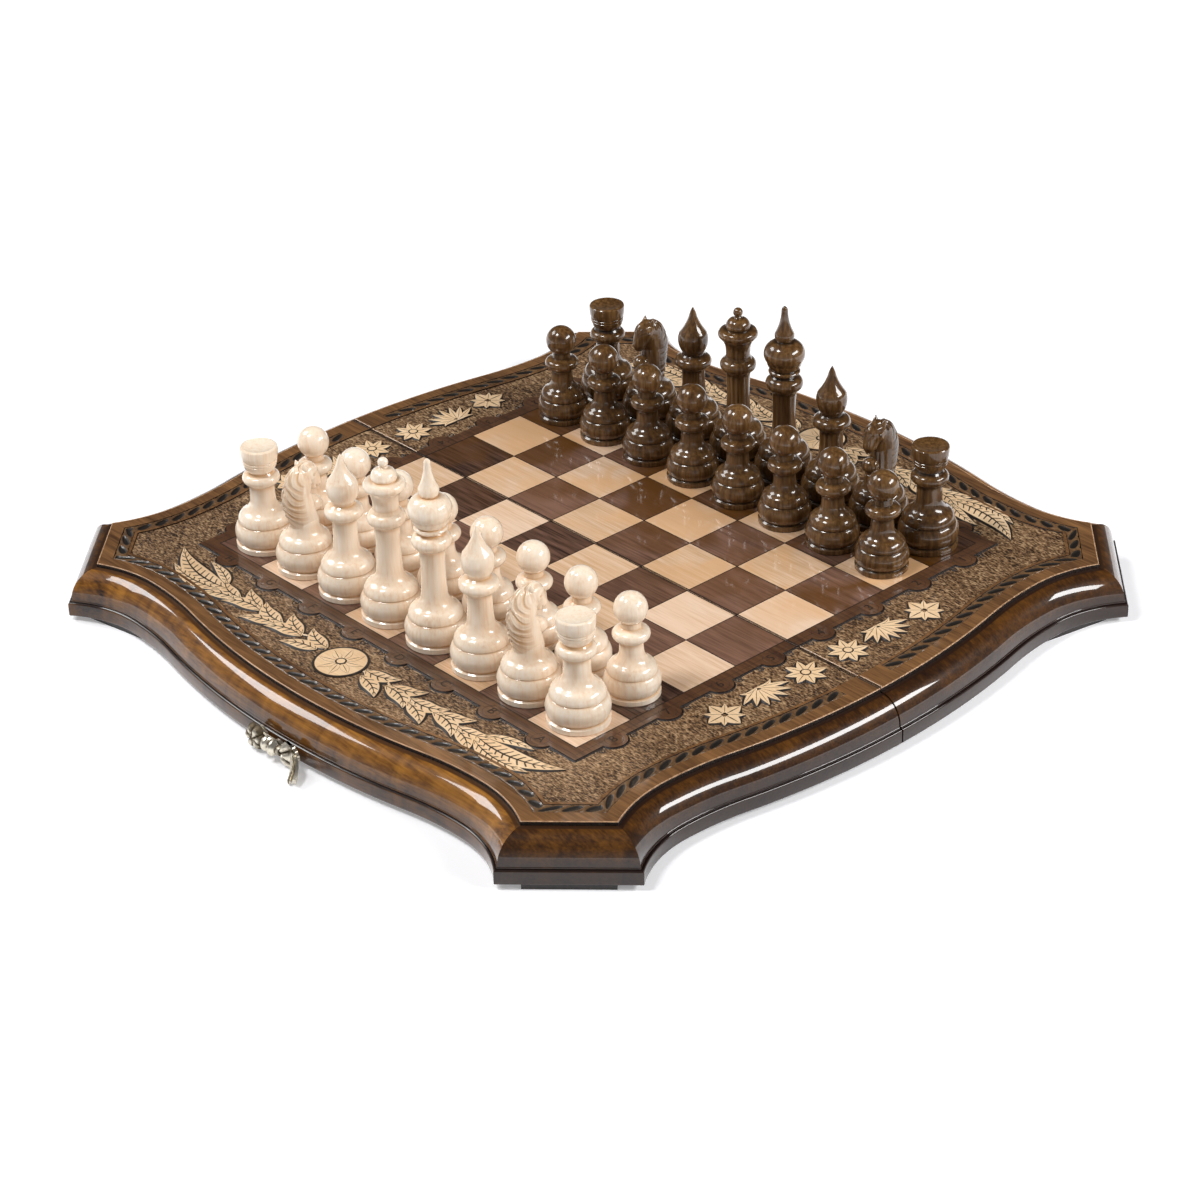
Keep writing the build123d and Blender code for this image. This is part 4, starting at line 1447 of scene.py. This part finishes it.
@dataclass
class TabLetters:
    """The engraved letters and numbers in the tabs, read from outside the board, by how far out they stand."""

    reach: float = 167.8
    size: float = 8.2
    rise: float = 0.06

    def build(self, half: Half, finish: bpy.types.Material) -> None:
        """Add the letters and numbers of one half as one flat mesh.

        Args:
            half: which half.
            finish: the material.
        """
        letter_turn = 0.0 if half is Half.LIGHT else 180.0
        labels = []
        for number, letter in enumerate("HGFEDCBA"):
            along = (number + 0.5) * SQUARE - HALF_FIELD
            labels.append((letter, along, half.value * self.reach, letter_turn))
            if along * half.value > 0:
                labels.append((str(8 - number), self.reach, along, 90.0))
                labels.append((str(8 - number), -self.reach, along, -90.0))
        mesh = bpy.data.meshes.new(f"{half.body}_coordinates")
        joined = bmesh.new()
        for label in labels:
            outline = self.glyph(*label)
            joined.from_mesh(outline)
            bpy.data.meshes.remove(outline)
        joined.to_mesh(mesh)
        joined.free()
        mount(mesh, finish, half.body)

    def glyph(self, text: str, x: float, y: float, turn: float) -> bpy.types.Mesh:
        """One letter or number as a mesh, a tenth of a millimetre thick, lying on the deck.

        Args:
            text: the character.
            x: its middle along X.
            y: its middle along Y.
            turn: its turn about Z in degrees.

        Returns:
            The mesh, in place.
        """
        curve = bpy.data.curves.new("glyph", "FONT")
        curve.body = text
        curve.align_x = "CENTER"
        curve.align_y = "CENTER"
        curve.size = self.size * MM
        curve.extrude = self.rise * MM
        writer = add_object("glyph", curve)
        mesh = bpy.data.meshes.new_from_object(writer.evaluated_get(bpy.context.evaluated_depsgraph_get()))
        bpy.data.objects.remove(writer)
        bpy.data.curves.remove(curve)
        place = Matrix.Translation((x * MM, y * MM, TOP_LEVEL * MM))
        mesh.transform(place @ Matrix.Rotation(math.radians(turn), 4, "Z"))
        mesh.materials.clear()
        return mesh


@dataclass
class PlainParts:
    """The parts whose CAD shape is right, with the finish of each kind, and the pins of both hinges."""

    kinds: tuple[tuple[str, str], ...] = (
        ("pale_squares", "pale_veneer"), ("brown_squares", "brown_veneer"), ("pale_points", "pale_veneer"),
        ("brown_points", "brown_veneer"), ("hinge_rail", "under_rail"), ("feet", "feet_wood"),
        ("hinge_leaves", "hinge_brass"),
    )

    def dress(self, finishes: dict[str, bpy.types.Material]) -> None:
        """Give each of them its finish.

        Args:
            finishes: the materials by name.
        """
        dress_node("hinge_pins", finishes["hinge_brass"])
        for half in Half:
            for kind, finish in self.kinds:
                dress_node(f"{half.body}_{kind}", finishes[finish])


@dataclass
class SwingClasp:
    """The cast clasp on the light end: rosette, beaded bar, ribbed fan and curled tongue."""

    place: float = -1.0
    level: float = 8.5
    arm_face: float = -253.75
    rosette_gap: float = 0.35
    rosette_radius: float = 8.2
    fan_reach: float = 28.0
    fan_radius: float = 11.2
    bar_span: tuple[float, float] = (7.0, 23.0)
    crease: float = 60.0

    def rosette(self) -> Patch:
        """The pivot's head, with six petals p = |cos 3a| to the 0.7 round a boss.

        At the share r of the radius it stands out by (3.4 + 2.6 p r sin(pi r) + 1.8 exp(-(r / 0.22) squared))
        times the root of 1.02 less r to the fourth, and its outline reaches 0.82 + 0.18 p of the radius.

        Returns:
            The closed surface, darker between the petals.
        """
        radius = np.linspace(0, 1, 15)[:, None]
        turn = full_turn(72)
        petal = np.abs(np.cos(3 * turn)) ** 0.7
        reach = self.rosette_radius * (0.82 + 0.18 * petal) * radius
        rise = 3.4 + 2.6 * petal * np.sin(np.pi * radius) * radius + 1.8 * bell(radius, 0, 0.22)
        rise = rise * np.sqrt(np.clip(1.02 - radius**4, 0, 1))
        x = self.place + reach * np.cos(turn)
        z = self.level + reach * np.sin(turn)
        back_y = self.arm_face - self.rosette_gap
        y = back_y - rise
        front = np.stack([x, y, z], axis=-1)
        back = np.stack([x[::-1], 0 * y + back_y, z[::-1]], axis=-1)
        tint = np.concatenate([1 - petal * np.sin(np.pi * radius), np.ones_like(y)])
        return Patch(np.concatenate([front, back]), tint, capped=False)

    def turned_bar(self) -> Patch:
        """The bar, turned about the arm's own line along X and cut flat at the back, clear of the keeper's stud.

        Its radius is 3.0 with a ring of 1.8 at 10.6 and a bead of 2.2 at 16.6, each a bell curve, less two
        narrow grooves at 13.4 and 20.0. It stands out by 1.15 times that.

        Returns:
            The closed surface, darker where it is thin.
        """
        along = np.linspace(*self.bar_span, 60)
        radius = 3.0 + 1.8 * bell(along, 10.6, 1.7, 4) + 2.2 * bell(along, 16.6, 2.1)
        radius = radius - 0.45 * bell(along, 13.4, 0.5) - 0.4 * bell(along, 20.0, 0.6)
        radius[0] = radius[-1] = 0.0
        turn = full_turn(28)
        y = self.arm_face - 0.5 + radius[:, None] * 1.15 * np.minimum(np.cos(turn), 0)
        z = self.level + radius[:, None] * np.sin(turn)
        x = self.place + along[:, None] + 0 * turn
        return Patch(np.stack([x, y, z], axis=-1), np.clip(3.4 - radius, 0, 1)[:, None], capped=False)

    def ribbed_fan(self) -> Patch:
        """The fan, whose ribs lie where the turn a is -1, 0 and 1 radian, with a part of one at each side.

        A rib is |cos(pi a)| to the 0.6. The fan reaches (0.86 + 0.14 rib) (1 - 0.16 a squared) of its radius, and
        at the share t of that it stands out by 1.0 + 2.6 rib sin(pi t to the 0.7) + 1.6 t (1 - t).

        Returns:
            The closed surface, darker between the ribs.
        """
        share = np.linspace(0, 1, 18)[:, None]
        turn = np.linspace(-1.25, 1.25, 61)
        rib = np.abs(np.cos(np.pi * turn)) ** 0.6
        reach = self.fan_radius * (0.86 + 0.14 * rib) * share * (1 - 0.16 * turn**2)
        x = self.place + self.fan_reach - 4.5 + reach * np.cos(turn)
        z = self.level + reach * np.sin(turn)
        rise = 1.0 + 2.6 * rib * np.sin(np.pi * share**0.7) + 1.6 * share * (1 - share)
        front = np.stack([x, self.arm_face - rise, z], axis=-1)
        back = np.stack([x, self.arm_face + 0.9 + 0 * rise, z], axis=-1)[:, ::-1]
        tint = np.concatenate([(1 - rib) + 0 * share, np.ones_like(rise)], axis=1)
        return Patch(np.concatenate([front, back], axis=1), tint)

    def tongue(self) -> Patch:
        """The curled tongue: an oval carried along x = 14 t, out = 12 t squared, down = 6.6 t to the 1.4.

        Returns:
            The closed surface.
        """
        share = np.linspace(0, 1, 22)
        path = np.stack([
            self.place + self.fan_reach + 1 + 14.0 * share,
            self.arm_face - 0.6 - 12.0 * share**2,
            self.level - 6.6 * share**1.4,
        ], axis=-1)
        slope = unit(np.gradient(path, axis=0))
        side = unit(np.cross(slope, (0, 0, 1.0)))
        lift = np.cross(side, slope)
        turn = full_turn(20)
        broad = (4.2 - 2.6 * share + 0.4 * bell(share, 0.93, 0.08))[:, None, None]
        thin = (1.1 + 0.4 * np.sin(np.pi * share))[:, None, None]
        broad[-1] = thin[-1] = 0.05
        ring = broad * np.sin(turn)[None, :, None] * lift[:, None] + thin * np.cos(turn)[None, :, None] * side[:, None]
        return Patch(path[:, None] + ring, np.abs(np.sin(turn)) ** 4 * 0.5)

    def build(self, metal: bpy.types.Material) -> None:
        """Dress the clasp's CAD parts and add the cast ornament to the pieces that carry it.

        Args:
            metal: the finish.
        """
        for node in ("clasp_plate", "clasp_arm", "clasp_keeper"):
            dress_node(node, metal)
        build_piece("clasp_rosette", [self.rosette()], metal, "light_half", crease=self.crease)
        ornament = [self.turned_bar(), self.ribbed_fan(), self.tongue()]
        build_piece("clasp_ornament", ornament, metal, "clasp_arm_body", crease=self.crease)


# Chessmen


BASE: Marks = (
    (0.97, 0, 0), (1, 0.04, 0), (1, 0.19, 0), (0.925, 0.245, 0), (0.90, 0.90, 0.105), (0.865, 0.925, 0),
    (0.885, 0.955, 0), (0.66, 1.32, 0.065),
)
PAWN: Marks = (
    (6.6, 32.6, 0), (7.8, 34.8, -0.3), (7.6, 41.6, 3.0), (5.8, 42.6, 0), (5.6, 46.2, 0), (0, 63.6, 6.66),
)
ROOK: Marks = (
    (7.4, 39.4, 0), (8.6, 41.8, -0.4), (8.4, 48.6, 2.8), (7.6, 49.8, 0), (10.1, 54.4, 0.3), (10.3, 55.3, 0),
    (9.9, 55.7, 0), (10.4, 56.1, 0), (10.5, 57.2, 0), (10.1, 57.6, 0), (10.6, 58.0, 0), (11.2, 64.6, 0.25),
    (10.7, 65.8, 0.22), (9.7, 66.1, 0.12), (8.6, 65.8, 0.08), (0, 65.0, -0.2),
)
BISHOP: Marks = (
    (7.4, 47.2, -0.4), (8.6, 49.2, -0.2), (8.4, 56.6, 3.1), (6.7, 58.0, 0), (7.0, 59.8, 0), (8.6, 72.6, 1.6),
    (2.6, 83.5, -0.5), (0, 89.9, 0.3),
)
QUEEN: Marks = (
    (7.6, 58.0, -0.6), (8.8, 60.3, -0.2), (8.6, 68.2, 2.6), (7.5, 70.2, 0), (7.6, 74.0, 0), (11.0, 82.4, -0.8),
    (11.2, 87.4, 1.3), (7.4, 88.4, 0), (3.0, 95.4, 1.9), (2.0, 96.8, -0.2), (0, 102.0, 1.96),
)
KING: Marks = (
    (7.5, 58.4, -0.6), (8.8, 60.9, -0.2), (8.6, 69.4, 2.9), (7.4, 70.6, 0), (9.2, 72.0, 0.2), (9.4, 74.0, 0.5),
    (8.4, 74.6, 0), (10.9, 79.6, 0.5), (5.0, 93.0, 4.4), (5.9, 98.2, 0.5), (2.0, 113.0, -0.9), (0, 116.0, 0.6),
)


class Kind(Enum):
    """The six kinds of men: base radius, stem radius, and the marks above the stem."""

    PAWN = (16.0, 6.6, PAWN)
    ROOK = (18.0, 7.4, ROOK)
    KNIGHT = (18.0, 8.6, ((8.6, 33.0, 0), (0, 36.0, 1.0)))
    BISHOP = (18.0, 7.4, BISHOP)
    QUEEN = (18.0, 7.4, QUEEN)
    KING = (18.0, 7.4, KING)


@dataclass
class Chessmen:
    """The 32 turned men; each stands where its CAD node does and takes its place.

    All share a drum, groove, round and neck, whose marks in BASE are shares of the base's radius.
    """

    sides: int = 52
    crease: float = 30.0
    shade_window: float = 7.0
    shade_depth: float = 0.9
    shade_samples: int = 400
    head_rings: int = 120
    head_sides: int = 96
    lock_pace: float = 0.78
    lock_sweep: float = 5.6

    def turned(self, kind: Kind, middle: Sequence[float]) -> Patch:
        """The lathe shape of one man on its square.

        Its attribute, painted shade in the creases, is how far the line lies inside its own running mean over the
        shade's window, in shares of the shade's depth, and fades from a radius of 3.5 mm to 1 mm, so that the tops
        stay pale.

        Args:
            kind: the kind of man.
            middle: the square's middle at the top level.

        Returns:
            The closed surface.
        """
        radius, stem, marks = kind.value
        base = [tuple(radius * share for share in mark) for mark in BASE]
        neck = (stem * 1.05, radius * 1.74, radius * -0.055)
        profile = turned_profile((*base, neck, *marks))
        length = path_length(profile)
        even = np.linspace(0, length[-1], self.shade_samples)
        line = np.interp(even, length, profile[:, 0])
        reach = max(3, round(self.shade_window / length[-1] * self.shade_samples) // 2 * 2 + 1)
        mean = np.convolve(np.pad(line, reach // 2, mode="edge"), np.ones(reach) / reach, mode="valid")
        patch = lathe(profile, middle, self.sides)
        # Painted shade: creases, where the line lies inside its running mean, are darkened.
        sunk = np.clip(np.interp(length, even, mean - line) / self.shade_depth, 0, 1)
        patch.tint = (sunk * np.clip((profile[:, 0] - 1) / 2.5, 0, 1))[:, None]
        return patch

    def head(self, middle: Sequence[float], facing: float) -> list[Patch]:
        """A knight's carved head: an oval carried up the neck, over the crown and down to the muzzle.

        The spine is a polyline of seven places smoothed by a running mean, and the oval's half depth and half
        width follow the same length. On its outer side the mane adds the size of the sine of the pace times the
        length plus the sweep times the size of the turn's sine, which makes locks that run down to both sides, and
        two fifths of the same at 2.5 times the pace for the strands in them. Painted shade darkens the locks' hollows,
        the more so at the mane's foot. It is drawn for a man at the origin that looks along +Y, then turned and moved.

        Args:
            middle: the square's middle at the top level.
            facing: 1 when the knight looks along +Y, -1 when along -Y.

        Returns:
            The head, the ball of its chest, two ears and two eyes.
        """
        knots = np.array([0.0, 0.2, 0.4, 0.58, 0.74, 0.88, 1.0])
        share = np.linspace(0, 1, self.head_rings)
        path_y = self.through(share, knots, (0.0, -2.2, -3.6, -1.2, 4.2, 8.4, 10.6))
        path_z = self.through(share, knots, (31.0, 40.5, 49.5, 58.0, 60.8, 55.5, 48.4))
        deep = self.through(share, knots, (9.0, 9.2, 9.0, 8.6, 7.6, 5.2, 3.6))
        wide = self.through(share, knots, (8.6, 7.4, 6.4, 6.0, 5.4, 4.2, 3.4))
        slope_y, slope_z = np.gradient(path_y), np.gradient(path_z)
        size = np.hypot(slope_y, slope_z)
        out_y, out_z = -slope_z / size, slope_y / size
        length = path_length(np.stack([path_y, path_z], axis=-1))
        turn = full_turn(self.head_sides)
        back = np.clip(np.cos(turn), 0, 1)[None] ** 0.6
        mane = np.clip(1.2 - np.abs(share - 0.42) / 0.42, 0, 1)[:, None] * back
        phase = self.lock_pace * length[:, None] + self.lock_sweep * np.abs(np.sin(turn))[None]
        locks = 0.6 * np.abs(np.sin(phase)) ** 0.7 + 0.4 * np.abs(np.sin(2.5 * phase))
        grooves = mane * (2.1 * locks - 0.3)
        cheek = 0.8 * bell(share, 0.76, 0.06)[:, None] * np.abs(np.sin(turn))[None] ** 3
        mouth = -0.7 * bell(np.cos(turn)[None], -0.25, 0.12) * (share > 0.9)[:, None]
        depth = (deep[:, None] + grooves + mouth) * np.cos(turn)[None]
        width = (wide[:, None] + 0.35 * grooves + cheek + mouth) * np.sin(turn)[None]
        ends = np.clip(np.minimum(1, (1 - share) * 14), 0, 1)[:, None] ** 0.5
        y = path_y[:, None] + depth * ends * out_y[:, None]
        z = path_z[:, None] + depth * ends * out_z[:, None]
        # Painted shade: darker in the locks' hollows, more so at the mane's foot.
        foot = 0.45 * np.clip((0.42 - share) / 0.2, 0, 1)[:, None]
        tint = np.clip(1.45 + foot - 1.7 * locks, 0, 1) * np.clip(1.6 * mane, 0, 1)
        skull = Patch(np.stack([width * ends, y, z], axis=-1), tint)
        chest = self.ball((0.0, 7.6, 40.2), (5.4, 5.4, 5.0))
        eyes = [self.ball((hand * 5.0, 5.4, 61.2), (1.1, 1.7, 1.3), 0.6) for hand in (-1, 1)]
        parts = [skull, chest, *self.ears(), *eyes]
        for part in parts:
            part.points = flip(part.points, facing, facing) + np.array(middle)
        return parts

    @staticmethod
    def ball(centre: Sequence[float], radii: Sequence[float], tint: float = 0.0) -> Patch:
        """A closed ellipsoid, each point being (rx cos b cos a, ry cos b sin a, rz sin b) from its centre.

        Args:
            centre: its middle.
            radii: the three radii.
            tint: its attribute.

        Returns:
            The closed surface.
        """
        rise = np.linspace(-np.pi / 2, np.pi / 2, 15)[:, None]
        turn = full_turn(24)
        ring = np.cos(rise)
        sphere = np.stack([ring * np.cos(turn), ring * np.sin(turn), np.sin(rise) + 0 * turn], axis=-1)
        return Patch(sphere * np.array(radii) + np.array(centre), tint, capped=False)

    @staticmethod
    def through(share: np.ndarray, knots: np.ndarray, values: Sequence[float]) -> np.ndarray:
        """A smooth line through values at knots: straight interpolation, then a running mean of eleven."""
        line = np.interp(np.pad(share, 5, mode="reflect", reflect_type="odd"), knots, values)
        return np.convolve(line, np.ones(11) / 11, mode="valid")

    @staticmethod
    def ears() -> list[Patch]:
        """Two pointed ears: rings whose radius shrinks as 1 - t squared, leaning back and out.

        Returns:
            The two closed surfaces.
        """
        share = np.linspace(0, 1, 10)[:, None]
        turn = full_turn(16)
        radius = 2.3 * (1 - share**2)
        y = 1.6 - 1.6 * share + radius * np.sin(turn)
        z = 64.4 + 5.4 * share + 0 * turn
        across = [hand * (2.9 + 1.0 * share) + 0.8 * radius * np.cos(turn) for hand in (-1, 1)]
        return [Patch(np.stack([x, y, z], axis=-1)) for x in across]

    def build(self, woods: dict[Half, bpy.types.Material]) -> None:
        """Build every man from its node's name and place.

        Args:
            woods: the finish of each side's men.
        """
        for node in sorted(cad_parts):
            side, _, rest = node.partition("_")
            kind = rest.split("_")[0].upper()
            if side not in ("light", "dark") or kind not in Kind.__members__:
                continue
            low, high = (np.array(corner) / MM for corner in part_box(node))
            middle = (*((low + high) / 2)[:2], TOP_LEVEL)
            half = Half.LIGHT if side == "light" else Half.DARK
            patches = [self.turned(Kind[kind], middle)]
            if Kind[kind] is Kind.KNIGHT:
                patches += self.head(middle, half.mirror)
            build_piece(f"{node}_turned", patches, woods[half], f"man_{node}", [node], self.crease)


# Studio


@dataclass(frozen=True)
class Lamp:
    """One soft light: where it is, where it points, its size and its power."""

    name: str
    place: tuple[float, float, float]
    size: tuple[float, float]
    power: float
    aim: tuple[float, float, float] = (0.0, 0.0, 0.02)

    def build(self) -> None:
        """Add the lamp, its -Z axis turned to its aim."""
        light = bpy.data.lights.new(self.name, "AREA")
        light.shape = "RECTANGLE"
        light.size, light.size_y = self.size
        light.energy = self.power
        holder = add_object(self.name, light)
        holder.location = self.place
        way = np.array(self.aim) - np.array(self.place)
        holder.rotation_euler = (
            math.atan2(float(np.hypot(way[0], way[1])), -float(way[2])),
            0.0,
            math.atan2(float(way[1]), float(way[0])) - math.pi / 2,
        )


@dataclass
class Studio:
    """Floor, lamps, world and the camera at the photograph's angle."""

    camera_place: tuple[float, float, float] = (1.2264, -1.0885, 0.9389)
    camera_turn: tuple[float, float, float] = (60.180, 1.582, 47.860)
    lens: float = 93.92
    sensor_width: float = 36.0
    clip_end: float = 60.0
    shift: tuple[float, float] = (0.0169, -0.0084)
    floor_reach: float = 9.0
    floor_white: Colour = (0.86, 0.86, 0.88)
    floor_glow: float = 0.28
    glow_from: float = 0.35
    glow_to: float = 1.10
    wall_white: tuple[float, float, float, float] = (0.96, 0.97, 1.0, 1.0)
    horizon_level: float = 0.45
    zenith_level: float = 0.09
    zenith_height: float = 0.62
    far_share: float = 0.22
    far_turn: tuple[float, float] = (-0.30, 0.25)
    lamps: tuple[Lamp, ...] = (
        Lamp("upper_softbox", (-0.24, -0.94, 1.75), (0.46, 0.46), 19.0),
        Lamp("right_strip", (1.36, 0.76, 0.98), (1.15, 0.38), 26.0),
        Lamp("left_window", (-1.30, -0.60, 1.30), (0.80, 0.60), 15.0),
    )

    def floor(self) -> None:
        """A plain pale floor that keeps the object's shadow and isn't seen from below.

        Its glow reaches camera, mirror and glass rays, and grows from the board outward, where no lamp reaches.
        """
        reach = self.floor_reach
        mesh = bpy.data.meshes.new("floor")
        corners = [(-reach, -reach, 0), (reach, -reach, 0), (reach, reach, 0), (-reach, reach, 0)]
        mesh.from_pydata(corners, [], [(0, 1, 2, 3)])
        finish = FinishTree(
            "floor_paper", Base_Color=(*self.floor_white, 1.0), Roughness=0.9,
            Specular_IOR_Level=0.0, Emission_Strength=1.0,
        )
        rays = [
            finish.node("ShaderNodeLightPath", {}, {}, name)
            for name in ("Is Camera Ray", "Is Glossy Ray", "Is Transmission Ray")
        ]
        seen = rays[0].larger(rays[1]).larger(rays[2])
        distance = finish.node("ShaderNodeVectorMath", {"operation": "LENGTH"}, {0: finish.place()}, "Value")
        far = distance.rise(self.glow_from, self.glow_to)
        near = (self.floor_glow,) * 3
        glow = finish.blend(seen, (0, 0, 0), finish.blend(far, near, (1, 1, 1)))
        under = finish.node("ShaderNodeNewGeometry", {}, {}, "Backfacing")
        mesh.materials.append(finish.finish(Emission_Color=glow, Alpha=1 - under))
        floor = add_object("floor", mesh)

    def world(self) -> None:
        """Pale walls that darken overhead and behind the board, by the height and the Y of the direction."""
        tree = FinishTree("studio", True, Color=self.wall_white)
        overhead = tree.axis("Z", "Generated").rise(0.0, self.zenith_height, self.horizon_level, self.zenith_level)
        behind = tree.axis("Y", "Generated").rise(*self.far_turn, 1.0, self.far_share)
        bpy.context.scene.world = tree.finish(Strength=overhead * behind)

    def camera(self) -> None:
        """The camera, set from the calibrated view of the photograph."""
        data = bpy.data.cameras.new("camera")
        data.lens = self.lens
        data.sensor_width = self.sensor_width
        data.shift_x, data.shift_y = self.shift
        data.clip_end = self.clip_end
        camera = add_object("camera", data)
        camera.location = self.camera_place
        camera.rotation_euler = [math.radians(angle) for angle in self.camera_turn]
        bpy.context.scene.camera = camera

    def build(self) -> None:
        """Set up the whole studio."""
        self.floor()
        self.world()
        self.camera()
        for lamp in self.lamps:
            lamp.build()
        bpy.context.scene.view_settings.view_transform = "Standard"


def main() -> None:
    """Build the finishes, then each part of the board, the men and the studio."""
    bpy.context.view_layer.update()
    finishes = palette()
    for half in Half:
        EdgeMoulding().build(half, finishes)
        CarvedDeck().build(half, finishes)
        LeafRelief().build(half, finishes["leaf_relief"])
        TabLetters().build(half, finishes["burnt_line_and_seam_shade"])
    PlainParts().dress(finishes)
    SwingClasp().build(finishes["clasp_pewter"])
    Chessmen().build({Half.LIGHT: finishes["ivory_lacquer"], Half.DARK: finishes["dark_lacquer"]})
    Studio().build()


if __name__ == "__main__":
    logging.basicConfig(level=logging.INFO, format="%(name)s: %(message)s")
    main()
